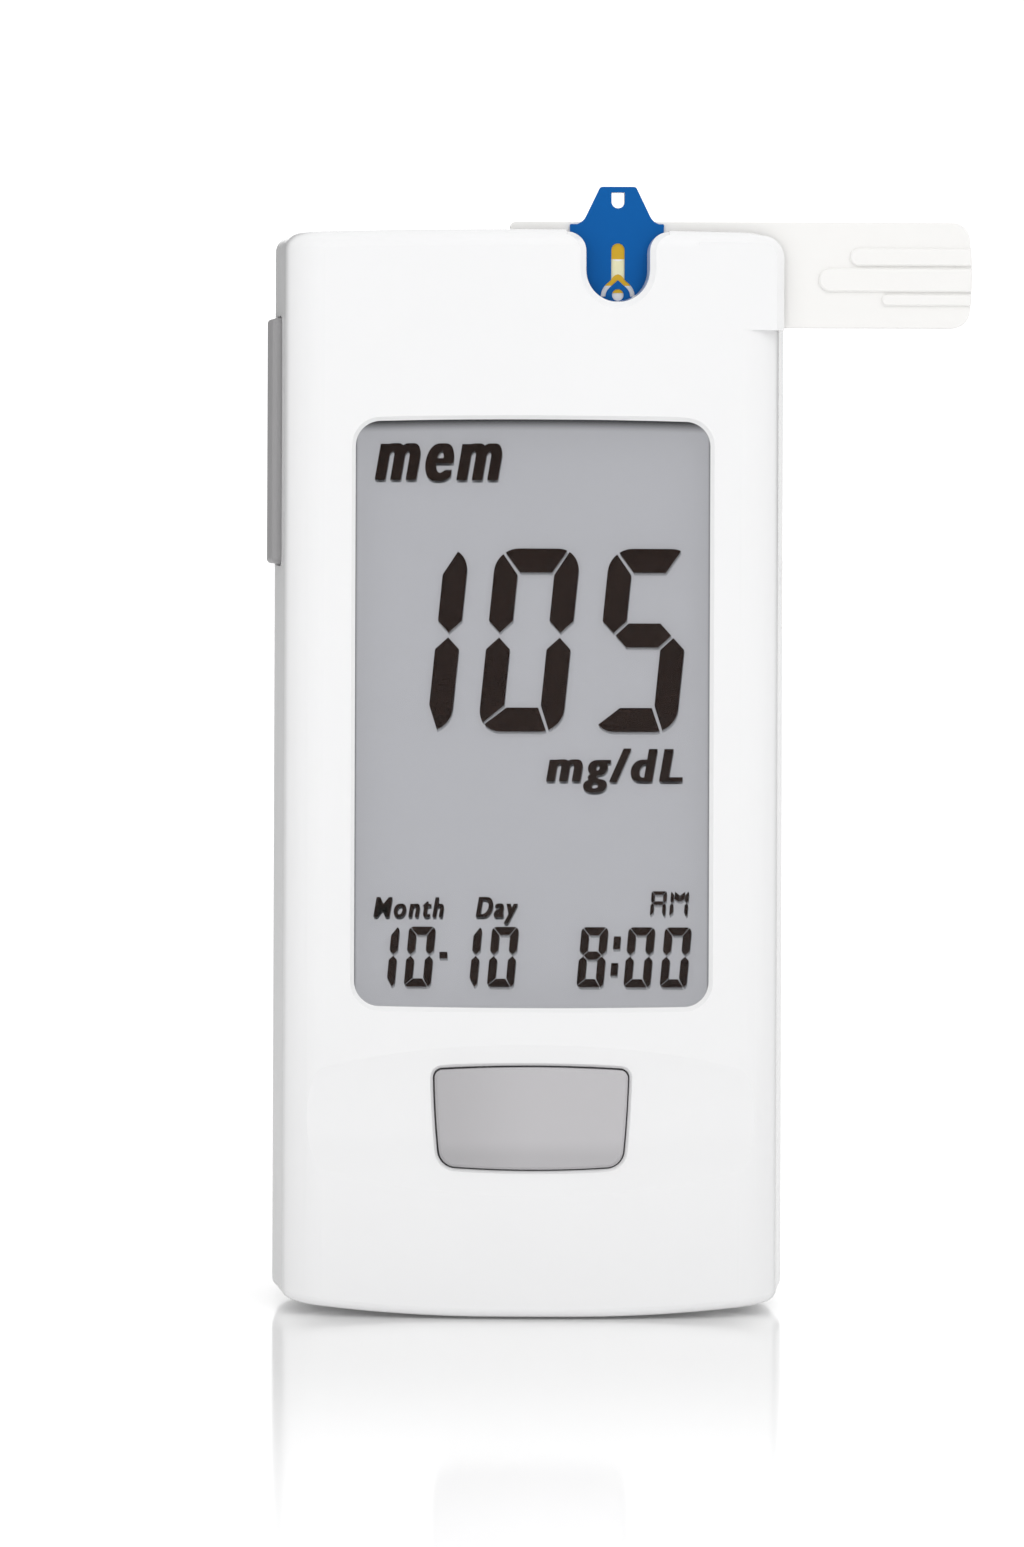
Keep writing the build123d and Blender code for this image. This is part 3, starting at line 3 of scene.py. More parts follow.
import bmesh
import bpy
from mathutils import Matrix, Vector


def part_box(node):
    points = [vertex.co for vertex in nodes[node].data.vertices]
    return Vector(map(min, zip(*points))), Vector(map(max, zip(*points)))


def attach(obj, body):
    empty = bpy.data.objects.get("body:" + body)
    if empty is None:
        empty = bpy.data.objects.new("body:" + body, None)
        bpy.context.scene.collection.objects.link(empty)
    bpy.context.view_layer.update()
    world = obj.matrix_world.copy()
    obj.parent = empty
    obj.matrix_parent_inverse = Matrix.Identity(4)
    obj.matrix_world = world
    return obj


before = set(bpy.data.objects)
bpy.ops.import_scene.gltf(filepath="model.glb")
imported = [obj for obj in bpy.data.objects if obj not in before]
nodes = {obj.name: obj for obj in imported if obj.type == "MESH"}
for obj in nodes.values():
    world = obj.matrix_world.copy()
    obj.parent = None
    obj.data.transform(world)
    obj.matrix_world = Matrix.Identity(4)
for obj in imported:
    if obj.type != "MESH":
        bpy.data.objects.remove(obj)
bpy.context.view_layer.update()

# Blood glucose meter: materials, display symbols, floor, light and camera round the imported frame.
# Blender works in metres. +Z runs up the meter and the display faces -Y. The display symbols and
# the reagent are drawn in millimetres, and angles are in degrees.

MM = 0.001


# --- Node helpers -----------------------------------------------------------------------------

FLOAT, COLOUR, VECTOR = "NodeSocketFloat", "NodeSocketColor", "NodeSocketVector"
NOISE_MIDDLE = 0.5  # the value that a noise texture lies around


def feed(tree, value, socket):
    """Gives an input socket a link, or a plain value."""
    if isinstance(value, bpy.types.NodeSocket):
        tree.links.new(value, socket)
    else:
        socket.default_value = value


def shader_node(tree, kind, **values):
    """New node with its inputs (by name) and its own settings (by attribute) filled in."""
    node = tree.nodes.new(kind)
    for name, value in values.items():
        if hasattr(node, name):
            setattr(node, name, value)
        else:
            feed(tree, value, node.inputs[name.replace("_", " ")])
    return node


def maths(tree, operation, *values, **settings):
    """Result of a Math node on sockets or numbers."""
    node = shader_node(tree, "ShaderNodeMath", operation=operation, **settings)
    for value, socket in zip(values, node.inputs):
        feed(tree, value, socket)
    return node.outputs[0]


def scaled(tree, colour, factor):
    """A colour times a factor."""
    node = shader_node(tree, "ShaderNodeVectorMath", operation="SCALE", Scale=factor)
    feed(tree, colour, node.inputs[0])
    return node.outputs[0]


def product(tree, first, second):
    """Two colours or vectors multiplied part by part."""
    node = shader_node(tree, "ShaderNodeVectorMath", operation="MULTIPLY")
    feed(tree, first, node.inputs[0])
    feed(tree, second, node.inputs[1])
    return node.outputs[0]


def ramp(tree, value, start, stop, low, high):
    """Smooth step from low, where the value is at start, to high, where it is at stop."""
    node = shader_node(
        tree,
        "ShaderNodeMapRange",
        interpolation_type="SMOOTHSTEP",
        Value=value,
        From_Min=start,
        From_Max=stop,
        To_Min=low,
        To_Max=high,
    )
    return node.outputs[0]


def noise(tree, place, **values):
    """Noise texture over a coordinate. Its Scale counts features per metre."""
    return shader_node(tree, "ShaderNodeTexNoise", Vector=place, **values).outputs["Fac"]


def bumped(tree, surface, height, strength, distance):
    """Lets a height bend the normal of a surface."""
    bump = shader_node(tree, "ShaderNodeBump", Height=height, Strength=strength, Distance=distance)
    feed(tree, bump.outputs["Normal"], surface.inputs["Normal"])


def object_place(tree):
    """Coordinate that is fixed to the object."""
    return tree.nodes.new("ShaderNodeTexCoord").outputs["Object"]


def axes(tree, place):
    """The X, Y and Z outputs of a coordinate."""
    return shader_node(tree, "ShaderNodeSeparateXYZ", Vector=place).outputs


# --- Shared finishes --------------------------------------------------------------------------


def new_group(name, inputs, outputs):
    """Shader node group with the given float, colour or vector sockets."""
    tree = bpy.data.node_groups.new(name, "ShaderNodeTree")
    for label, kind, value in inputs:
        socket = tree.interface.new_socket(label, in_out="INPUT", socket_type=kind)
        socket.default_value = value
    for label, kind in outputs:
        tree.interface.new_socket(label, in_out="OUTPUT", socket_type=kind)
    entry = tree.nodes.new("NodeGroupInput").outputs
    leave = tree.nodes.new("NodeGroupOutput").inputs
    return tree, entry, leave


def moulded_skin_group():
    """Fine grain and faint handling marks of a moulded plastic surface."""
    tree, entry, leave = new_group(
        "moulded_skin",
        [
            ("Colour", COLOUR, (0.8, 0.8, 0.8, 1)),
            ("Grain Size", FLOAT, 0.0004),
            ("Grain Depth", FLOAT, 0.1),
            ("Roughness", FLOAT, 0.3),
            ("Roughness Spread", FLOAT, 0.05),
            ("Tone Spread", FLOAT, 0.02),
        ],
        [("Colour", COLOUR), ("Roughness", FLOAT), ("Height", FLOAT)],
    )
    place = object_place(tree)
    grains_per_metre = maths(tree, "DIVIDE", 1.0, entry["Grain Size"])
    grain = noise(tree, place, Scale=grains_per_metre, Detail=3.0, Roughness=0.6)
    feed(tree, maths(tree, "MULTIPLY", grain, entry["Grain Depth"]), leave["Height"])
    marks = noise(tree, place, Scale=140.0, Detail=4.0, Roughness=0.65)
    centred = maths(tree, "SUBTRACT", marks, NOISE_MIDDLE)
    rough = (centred, entry["Roughness Spread"], entry["Roughness"])
    feed(tree, maths(tree, "MULTIPLY_ADD", *rough, use_clamp=True), leave["Roughness"])
    tone = maths(tree, "MULTIPLY_ADD", centred, entry["Tone Spread"], 1.0)
    feed(tree, scaled(tree, entry["Colour"], tone), leave["Colour"])
    return tree


def brushed_metal_group():
    """Fine lines along one direction, for drawn, rolled and plated metal."""
    tree, entry, leave = new_group(
        "brushed_metal",
        [
            ("Stretch", VECTOR, (1.0, 1.0, 1.0)),
            ("Roughness", FLOAT, 0.3),
            ("Spread", FLOAT, 0.2),
        ],
        [("Roughness", FLOAT), ("Height", FLOAT)],
    )
    stretched = product(tree, object_place(tree), entry["Stretch"])
    lines = noise(tree, stretched, Scale=900.0, Detail=4.0, Roughness=0.6)
    centred = maths(tree, "SUBTRACT", lines, NOISE_MIDDLE)
    rough = (centred, entry["Spread"], entry["Roughness"])
    feed(tree, maths(tree, "MULTIPLY_ADD", *rough, use_clamp=True), leave["Roughness"])
    feed(tree, lines, leave["Height"])
    return tree


MOULDED_SKIN = moulded_skin_group()
BRUSHED_METAL = brushed_metal_group()


def empty_material(name):
    """Material with an output and a Principled shader, and nothing else."""
    material = bpy.data.materials.new(name)
    material.use_nodes = True
    tree = material.node_tree
    tree.nodes.clear()
    surface = tree.nodes.new("ShaderNodeBsdfPrincipled")
    end = tree.nodes.new("ShaderNodeOutputMaterial")
    feed(tree, surface.outputs[0], end.inputs["Surface"])
    return material, tree, surface


def placed_group(tree, group, **values):
    """Outputs of a shared group, placed in a material with its own values."""
    return shader_node(tree, "ShaderNodeGroup", node_tree=group, **values).outputs


def moulded_plastic(
    name,
    colour,
    roughness,
    grain_size,
    grain_depth,
    tone_spread=0.02,
    bump=0.15,
    coat=0.0,
    coat_roughness=0.08,
    specular=0.5,
    alpha=1.0,
):
    """Injection-moulded plastic: the skin group drives colour, roughness and bump."""
    material, tree, surface = empty_material(name)
    skin = placed_group(
        tree,
        MOULDED_SKIN,
        Colour=(*colour, 1),
        Roughness=roughness,
        Roughness_Spread=0.06,
        Tone_Spread=tone_spread,
        Grain_Size=grain_size,
        Grain_Depth=grain_depth,
    )
    feed(tree, skin["Colour"], surface.inputs["Base Color"])
    feed(tree, skin["Roughness"], surface.inputs["Roughness"])
    bumped(tree, surface, skin["Height"], strength=bump, distance=0.1 * MM)
    surface.inputs["Coat Weight"].default_value = coat
    surface.inputs["Coat Roughness"].default_value = coat_roughness
    surface.inputs["Specular IOR Level"].default_value = specular
    surface.inputs["Alpha"].default_value = alpha
    return material


def painted_shade_along(material, axis, start, stop, tone):
    """Painted shade: darkens the skin of a material to the given tone at start, and not at all from
    stop on.
    """
    tree = material.node_tree
    colour = tree.nodes["Principled BSDF"].inputs["Base Color"]
    skin = colour.links[0].from_socket
    fade = ramp(tree, axes(tree, object_place(tree))[axis], start, stop, tone, 1.0)
    feed(tree, scaled(tree, skin, fade), colour)


def plated_metal(name, colour, roughness, spread, stretch):
    """Rolled or plated metal with fine lines."""
    material, tree, surface = empty_material(name)
    lines = placed_group(
        tree, BRUSHED_METAL, Stretch=stretch, Roughness=roughness, Spread=spread
    )
    feed(tree, lines["Roughness"], surface.inputs["Roughness"])
    bumped(tree, surface, lines["Height"], strength=0.08, distance=0.05 * MM)
    surface.inputs["Base Color"].default_value = (*colour, 1)
    surface.inputs["Metallic"].default_value = 1.0
    return material


def clear_pane(name, colour, ior):
    """Clear glass or acrylic that lets the lamps reach what lies behind it."""
    material, tree, surface = empty_material(name)
    surface.inputs["Base Color"].default_value = (*colour, 1)
    surface.inputs["Roughness"].default_value = 0.02
    surface.inputs["Transmission Weight"].default_value = 1.0
    surface.inputs["IOR"].default_value = ior
    smears = noise(tree, object_place(tree), Scale=90.0, Detail=2.0)
    bumped(tree, surface, smears, strength=0.01, distance=0.1 * MM)
    rays = tree.nodes.new("ShaderNodeLightPath").outputs
    passing = maths(tree, "MAXIMUM", rays["Is Shadow Ray"], rays["Is Diffuse Ray"])
    through = tree.nodes.new("ShaderNodeBsdfTransparent")
    mix = tree.nodes.new("ShaderNodeMixShader")
    for value, socket in zip((passing, surface.outputs[0], through.outputs[0]), mix.inputs):
        feed(tree, value, socket)
    feed(tree, mix.outputs[0], tree.nodes["Material Output"].inputs["Surface"])
    return material


# --- Display reflector ------------------------------------------------------------------------

# The reflector's grey, and a painted glow: light that it gives off though it is no lamp, which evens
# out its tone under the window.
DISPLAY_GREY = (0.10, 0.102, 0.112)
DISPLAY_PAINTED_GLOW = (0.356, 0.359, 0.371)

# The upper edge of the window is highest in the middle and a shallow bow lower at its ends.
WINDOW_TOP = 78.9 * MM
WINDOW_HALF_WIDTH = 15.6 * MM
WINDOW_END_DROP = 0.23 * MM
WINDOW_BOW = WINDOW_END_DROP / WINDOW_HALF_WIDTH**2

# Painted shade of the rim on the reflector: its reach below the upper edge, and how much light is left.
RIM_SHADE_REACH = 1.1 * MM
RIM_SHADE_ABOVE = 0.1 * MM
RIM_SHADE_TONE = 0.05
# Narrow painted shade along both sides, measured from the middle of the window.
WINDOW_MIDDLE_X = 0.08 * MM
SIDE_SHADE_START = 15.42 * MM
SIDE_SHADE_END = 15.72 * MM
SIDE_SHADE_TONE = 0.3
# Fine specks of the reflector film.
SPECKS_PER_METRE = 6000.0
SPECK_DEPTH = 0.06


def reflector_with_painted_light():
    """Grey reflector of the display with a faint painted glow, and painted shade below the rim of the
    window and along its sides.
    """
    material, tree, surface = empty_material("reflector_grey_painted_light")
    place = object_place(tree)
    along = axes(tree, place)
    square = maths(tree, "MULTIPLY", along["X"], along["X"])
    level = maths(tree, "MULTIPLY_ADD", square, WINDOW_BOW, along["Z"])
    shade_start, shade_end = WINDOW_TOP - RIM_SHADE_REACH, WINDOW_TOP + RIM_SHADE_ABOVE
    # Painted shade below the rim of the window.
    rim_painted_shade = ramp(tree, level, shade_start, shade_end, 1.0, RIM_SHADE_TONE)
    offset = maths(tree, "SUBTRACT", along["X"], WINDOW_MIDDLE_X)
    distance = maths(tree, "ABSOLUTE", offset)
    # Painted shade along both sides of the window.
    side_painted_shade = ramp(tree, distance, SIDE_SHADE_START, SIDE_SHADE_END, 1.0, SIDE_SHADE_TONE)
    shade = maths(tree, "MULTIPLY", rim_painted_shade, side_painted_shade)
    specks = noise(tree, place, Scale=SPECKS_PER_METRE, Detail=2.0)
    grain = maths(tree, "MULTIPLY_ADD", specks, SPECK_DEPTH, 1.0 - SPECK_DEPTH / 2)
    tone = maths(tree, "MULTIPLY", shade, grain)
    feed(tree, scaled(tree, DISPLAY_GREY, tone), surface.inputs["Base Color"])
    # Painted glow of the reflector, which also carries the painted shade.
    feed(tree, scaled(tree, DISPLAY_PAINTED_GLOW, tone), surface.inputs["Emission Color"])
    surface.inputs["Emission Strength"].default_value = 1.0
    surface.inputs["Roughness"].default_value = 0.6
    surface.inputs["Specular IOR Level"].default_value = 0.1
    return material


# --- Cells ------------------------------------------------------------------------------------

SLEEVE_BLACK = (0.015, 0.016, 0.02, 1)
SLEEVE_COPPER = (0.62, 0.24, 0.09, 1)
STEEL_GREY = (0.62, 0.61, 0.58)
POSITIVE_END, NEGATIVE_END = 2.0 * MM, 0.7 * MM  # bare steel at the two ends of a cell
COPPER_LENGTH = 14 * MM
LEFT_CELL_UP = True


def cell_jacket(name, node, positive_up):
    """Printed sleeve of a cell: steel at both ends and a copper band towards its positive end."""
    material, tree, surface = empty_material(name)
    low, high = (corner.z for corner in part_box(node))
    height = axes(tree, object_place(tree))["Z"]
    top_end, low_end = (POSITIVE_END, NEGATIVE_END) if positive_up else (NEGATIVE_END, POSITIVE_END)
    at_top = maths(tree, "GREATER_THAN", height, high - top_end)
    at_foot = maths(tree, "LESS_THAN", height, low + low_end)
    ends = maths(tree, "MAXIMUM", at_top, at_foot)
    if positive_up:
        band = maths(tree, "GREATER_THAN", height, high - COPPER_LENGTH)
    else:
        band = maths(tree, "LESS_THAN", height, low + COPPER_LENGTH)
    sleeve = shader_node(
        tree, "ShaderNodeMix", data_type="RGBA", Factor=band, A=SLEEVE_BLACK, B=SLEEVE_COPPER
    )
    whole = shader_node(
        tree,
        "ShaderNodeMix",
        data_type="RGBA",
        Factor=ends,
        A=sleeve.outputs["Result"],
        B=(*STEEL_GREY, 1),
    )
    skin = placed_group(
        tree,
        MOULDED_SKIN,
        Colour=(1, 1, 1, 1),
        Roughness=0.32,
        Grain_Size=0.6 * MM,
        Grain_Depth=0.3,
    )
    tinted = product(tree, whole.outputs["Result"], skin["Colour"])
    feed(tree, tinted, surface.inputs["Base Color"])
    feed(tree, maths(tree, "MAXIMUM", ends, band), surface.inputs["Metallic"])
    feed(tree, skin["Roughness"], surface.inputs["Roughness"])
    bumped(tree, surface, skin["Height"], strength=0.1, distance=0.1 * MM)
    return material


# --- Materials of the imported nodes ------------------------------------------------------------

CASE_WHITE = (0.86, 0.86, 0.865)
BUTTON_GREY = (0.515, 0.505, 0.52)
KEY_GREY = (0.32, 0.315, 0.32)
COVER_BLUE = (0.004, 0.100, 0.350)
STRIP_WHITE = (0.86, 0.853, 0.838)
NYLON_BLACK = (0.012, 0.012, 0.013)
PLUNGER_RED = (0.30, 0.02, 0.015)
FRAME_WHITE = (0.70, 0.70, 0.69)
SEAL_GREY = (0.35, 0.35, 0.34)
REAGENT_CREAM = (0.80, 0.77, 0.50)
ZEBRA_RED = (0.25, 0.08, 0.09)
BOARD_GREEN = (0.005, 0.09, 0.03)
CAPACITOR_TAN = (0.32, 0.20, 0.09)
GOLD = (0.80, 0.50, 0.05)
LENS_TINT = (0.99, 0.99, 0.995)
PLATE_TINT = (0.985, 0.985, 0.99)
LENS_IOR, PLATE_IOR = 1.18, 1.03  # low, so that the display isn't veiled by reflections

# Each plastic is given its colour, roughness, grain size in metres and grain depth.
case_gloss = moulded_plastic(
    "case_gloss_white", CASE_WHITE, 0.22, 0.0009, 0.25, bump=0.06, coat=0.6, coat_roughness=0.05
)
case_satin = moulded_plastic("case_satin_white", CASE_WHITE, 0.38, 0.0005, 0.6, bump=0.12)
button_satin = moulded_plastic("button_satin_grey", BUTTON_GREY, 0.34, 0.0003, 0.5, bump=0.1)
key_satin = moulded_plastic("key_satin_grey", KEY_GREY, 0.42, 0.0003, 0.6, bump=0.12)
strip_satin = moulded_plastic(
    "strip_satin_white", STRIP_WHITE, 0.4, 0.0004, 0.5, tone_spread=0.015, bump=0.08
)
cover_film = moulded_plastic(
    "cover_film_blue", COVER_BLUE, 0.35, 0.0003, 0.3, tone_spread=0.05, bump=0.05, specular=0.08
)
black_plastic = moulded_plastic("black_nylon", NYLON_BLACK, 0.5, 0.0003, 0.6)
plunger_red = moulded_plastic("plunger_red", PLUNGER_RED, 0.45, 0.0003, 0.5)
frame_white = moulded_plastic("display_frame_white", FRAME_WHITE, 0.5, 0.0004, 0.6)
seal_grey = moulded_plastic("seal_grey", SEAL_GREY, 0.6, 0.0002, 0.5)
# Display reflector with a painted glow and painted shade.
reflector = reflector_with_painted_light()
reagent_cream = moulded_plastic("reagent_cream", REAGENT_CREAM, 0.6, 0.0001, 0.8, specular=0.2)
zebra_rubber = moulded_plastic("zebra_rubber", ZEBRA_RED, 0.7, 0.0002, 0.6)
board_green = moulded_plastic("board_green", BOARD_GREEN, 0.4, 0.0006, 0.5)
capacitor_tan = moulded_plastic("capacitor_tan", CAPACITOR_TAN, 0.6, 0.0002, 0.5)

# Each metal is given its colour, roughness, spread of roughness and the stretch of its lines.
steel = plated_metal("nickel_steel", STEEL_GREY, 0.3, 0.25, (1.0, 8.0, 1.0))
gold = plated_metal("gold_plate", GOLD, 0.42, 0.2, (1.0, 6.0, 6.0))

lens_clear = clear_pane("lens_clear", LENS_TINT, LENS_IOR)
plate_clear = clear_pane("plate_clear", PLATE_TINT, PLATE_IOR)

# Painted shade on the main button: it is a little darker towards its left edge and its foot. The reach
# of each shade is in thirds of the button, from its left edge and from its foot.
BUTTON_LEFT_TONE, BUTTON_FOOT_TONE = 0.86, 0.88
LEFT_SHADE_REACH = 1.7
FOOT_SHADE_FULL, FOOT_SHADE_REACH = 0.5, 1.0
button_low, button_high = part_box("main_button")
button_third = (button_high - button_low) / 3
left_shade_end = button_low.x + LEFT_SHADE_REACH * button_third.x
foot_shade_start = button_low.z + FOOT_SHADE_FULL * button_third.z
foot_shade_end = button_low.z + FOOT_SHADE_REACH * button_third.z
# Painted shade towards the button's left edge and towards its foot.
painted_shade_along(button_satin, "X", button_low.x, left_shade_end, BUTTON_LEFT_TONE)
painted_shade_along(button_satin, "Z", foot_shade_start, foot_shade_end, BUTTON_FOOT_TONE)

node_materials = {
    "front_shell": case_gloss,
    "back_shell": case_satin,
    "battery_door": case_satin,
    "main_button": button_satin,
    "main_switch": black_plastic,
    "main_switch_plunger": plunger_red,
    "side_key": key_satin,
    "side_switches": black_plastic,
    "window_lens": lens_clear,
    "lcd_front_plate": plate_clear,
    "lcd_seal": seal_grey,
    "lcd_rear_plate": plate_clear,
    "lcd_reflector": reflector,
    "lcd_frame": frame_white,
    "zebra_connector": zebra_rubber,
    "main_board": board_green,
    "processor": black_plastic,
    "amplifier_chips": black_plastic,
    "crystal": steel,
    "capacitors": capacitor_tan,
    "buzzer": black_plastic,
    "strip_port": black_plastic,
    "port_contacts": gold,
    "battery_left": cell_jacket("cell_jacket_left", "battery_left", LEFT_CELL_UP),
    "battery_right": cell_jacket("cell_jacket_right", "battery_right", not LEFT_CELL_UP),
    "battery_bridge": steel,
    "positive_contact": steel,
    "negative_contact": steel,
    "case_screws": steel,
    "board_screws": steel,
    "strip_base": strip_satin,
    "strip_cover": cover_film,
    "strip_electrodes": gold,
}

for name, material in node_materials.items():
    piece = nodes[name]
    piece.data.materials.clear()
    piece.data.materials.append(material)

# --- Thin pieces ------------------------------------------------------------------------------


def added(name, data):
    """New object in the scene that holds the given mesh, curve, lamp or camera."""
    holder = bpy.data.objects.new(name, data)
    bpy.context.scene.collection.objects.link(holder)
    return holder


def flat_piece(name, outlines, back_y, thickness):
    """Thin plates with the given (x, z) outlines in millimetres, standing in front of a depth."""
    mesh = bpy.data.meshes.new(name)
    shape = bmesh.new()
    for outline in outlines:
        front = [shape.verts.new((x * MM, back_y - thickness, z * MM)) for x, z in outline]
        back = [shape.verts.new((x * MM, back_y, z * MM)) for x, z in outline]
        shape.faces.new(front)
        shape.faces.new(back)
        for i in range(len(outline)):
            shape.faces.new((front[i - 1], front[i], back[i], back[i - 1]))
    bmesh.ops.recalc_face_normals(shape, faces=shape.faces[:])
    shape.to_mesh(mesh)
    shape.free()
    return added(name, mesh)


def arc(centre_x, centre_z, radius, start, stop, steps=6):
    """Points on a circle between two angles in degrees."""
    angles = [radians(start + (stop - start) * step / steps) for step in range(steps + 1)]
    return [(centre_x + radius * cos(a), centre_z + radius * sin(a)) for a in angles]


# --- Display symbols --------------------------------------------------------------------------

SYMBOL_Y = (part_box("lcd_front_plate")[1].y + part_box("lcd_rear_plate")[0].y) / 2
SYMBOL_THICKNESS = 0.03 * MM

INK_BROWN = (0.0155, 0.0085, 0.0065)
SHADOW_GREY = (0.05, 0.05, 0.055)
symbol_shadow = moulded_plastic("symbol_shadow", SHADOW_GREY, 0.8, 0.0002, 0.2, alpha=0.22)
symbol_ink = moulded_plastic("symbol_ink", INK_BROWN, 0.6, 0.0002, 0.05, specular=0.0)

# Two faint copies of each symbol, set back and down in millimetres, are its soft shadow.
SHADOW_DROPS = (0.12, 0.24)
SHADOW_SIDE = 0.25  # shift to the right for each millimetre of drop
SHADOW_BACK, SHADOW_BACK_STEP = 0.03, 0.01


def add_symbol(piece):
    """Gives a display symbol its ink and its faint shadow, and lets both move with the housing."""
    for number, drop in enumerate(SHADOW_DROPS):
        shadow = added(f"{piece.name}_shadow_{number}", piece.data.copy())
        shift = Vector((SHADOW_SIDE * drop, SHADOW_BACK + SHADOW_BACK_STEP * number, -drop)) * MM
        for vertex in shadow.data.vertices:
            vertex.co += shift
        shadow.data.materials.append(symbol_shadow)
        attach(shadow, "housing")
    piece.data.materials.append(symbol_ink)
    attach(piece, "housing")


# The bars of a digit meet at cuts across its round corners, at these angles.
CUT_TOP_LEFT, CUT_TOP_RIGHT, CUT_LOW_RIGHT, CUT_LOW_LEFT = 128, 62, -70, -140
HALF_CUT = 3.2  # half of the gap at a cut, in degrees
MIDDLE_LEVEL = 0.527  # height of the middle bar as a part of the digit's height
GAP = 0.1  # gap between bars as a part of the stroke
PEAK, VALLEY = 2.2, 0.4  # ends of the slanted bars of an M, in strokes

# Bars that are lit in each digit or letter.
LIT = {
    "0": "abcdef",
    "1": "bc",
    "5": "acdfg",
    "8": "abcdefg",
    "A": "abcefg",
    "M": "bceflr",
}


def seven_segments(letter, left, low, width, height, stroke, slant, bend):
    """Outlines of the lit bars of a digit or letter, which leans to the right by slant.

    Bars a to f run round the digit from the top, g is the middle bar, and l and r are the slanted
    bars of an M. The corners are round with a radius of bend strokes.
    """
    gap, half, corner = GAP * stroke, stroke / 2, bend * stroke
    middle = MIDDLE_LEVEL * height
    left_in, right_in = stroke, width - stroke
    left_arc, right_arc = corner, width - corner
    top_arc, top_in = height - corner, height - stroke
    above, below = middle + half + gap, middle - half - gap
    peak, valley = middle + PEAK * stroke, middle + VALLEY * stroke
    shoulder = height - PEAK * stroke
    bars = {
        "a": arc(left_arc, top_arc, corner, CUT_TOP_LEFT - HALF_CUT, 90)
        + arc(right_arc, top_arc, corner, 90, CUT_TOP_RIGHT + HALF_CUT)
        + [(right_in - gap, top_in), (left_in + gap, top_in)],
        "b": arc(right_arc, top_arc, corner, CUT_TOP_RIGHT - HALF_CUT, 0)
        + [(width, above), (width - half, middle + gap), (right_in, above), (right_in, top_in - gap)],
        "c": [(width - half, middle - gap), (width, below)]
        + arc(right_arc, corner, corner, 0, CUT_LOW_RIGHT + HALF_CUT)
        + [(right_in, stroke + gap), (right_in, below)],
        "d": arc(right_arc, corner, corner, CUT_LOW_RIGHT - HALF_CUT, -90)
        + arc(left_arc, corner, corner, -90, CUT_LOW_LEFT + HALF_CUT)
        + [(left_in + gap, stroke), (right_in - gap, stroke)],
        "e": arc(left_arc, corner, corner, CUT_LOW_LEFT - HALF_CUT, -180)
        + [(0, below), (half, middle - gap), (left_in, below), (left_in, stroke + gap)],
        "f": [(half, middle + gap), (0, above)]
        + arc(left_arc, top_arc, corner, 180, CUT_TOP_LEFT + HALF_CUT)
        + [(left_in, top_in - gap), (left_in, above)],
        "g": [
            (half + gap, middle),
            (left_in + gap, middle + half),
            (right_in - gap, middle + half),
            (width - half - gap, middle),
            (right_in - gap, middle - half),
            (left_in + gap, middle - half),
        ],
        "l": [
            (left_in + gap, height - gap),
            (left_in + gap, shoulder),
            (width / 2, valley),
            (width / 2, peak),
        ],
        "r": [
            (right_in - gap, height - gap),
            (width / 2 + gap, peak),
            (width / 2 + gap, valley),
            (right_in - gap, shoulder),
        ],
    }
    return [[(left + x + slant * z, low + z) for x, z in bars[key]] for key in LIT[letter]]


def segment_row(letters, **form):
    """Outlines of a row of digits or letters of one form, each with its left edge."""
    return [bar for left, letter in letters for bar in seven_segments(letter, left, **form)]


READING = {"low": 51.31, "width": 7.465, "height": 16.17, "stroke": 2.12, "slant": 0.0995, "bend": 0.95}
READING_DIGITS = ((-14.6, "1"), (-4.76, "0"), (5.27, "5"))

CLOCK = {"low": 28.76, "width": 2.37, "height": 5.3, "stroke": 0.72, "slant": 0.09, "bend": 0.6}
DATE_DIGITS = ((-14.38, "1"), (-11.2, "0"), (-7.1, "1"), (-3.87, "0"))
TIME_DIGITS = ((4.03, "8"), (8.17, "0"), (11.37, "0"))
DASH = [(-8.05, 31.27), (-7.35, 31.27), (-7.35, 31.84), (-8.05, 31.84)]
COLON_CORNERS = ((7.02, 29.78), (7.25, 32.13))
COLON_DOT = ((0, 0), (0.62, 0), (0.72, 1.12), (0.1, 1.12))

HALF_DAY = {"low": 35.05, "height": 2.2, "stroke": 0.31, "slant": 0.08, "bend": 0.6}
HALF_DAY_A_LEFT, HALF_DAY_A_WIDTH = 10.49, 1.36
HALF_DAY_M_LEFT, HALF_DAY_M_WIDTH = 12.2, 1.6

reading = segment_row(READING_DIGITS, **READING)
clock = segment_row(DATE_DIGITS + TIME_DIGITS, **CLOCK)
clock.append(DASH)
for dot_left, dot_low in COLON_CORNERS:
    clock.append([(dot_left + x, dot_low + z) for x, z in COLON_DOT])
half_day = seven_segments("A", HALF_DAY_A_LEFT, width=HALF_DAY_A_WIDTH, **HALF_DAY)
half_day += seven_segments("M", HALF_DAY_M_LEFT, width=HALF_DAY_M_WIDTH, **HALF_DAY)

for name, outlines in (
    ("symbol_reading", reading),
    ("symbol_clock", clock),
    ("symbol_half_day", half_day),
):
    add_symbol(flat_piece(name, outlines, SYMBOL_Y, SYMBOL_THICKNESS))


LETTER_SPACING = 1.24
LETTER_SWELL = 0.002  # outward offset of the letters' outlines, in parts of the font size
LETTER_EXTRUDE = 0.1  # only tells front from back: the thickness is set afterwards
LETTER_COPIES = 5
LETTER_CURVE_STEPS = 6
COPY_FORWARD = 0.002 * MM
DESCENDING = "gyp"  # words with one of these letters are measured from their base line
WORD_SLANT = 0.17
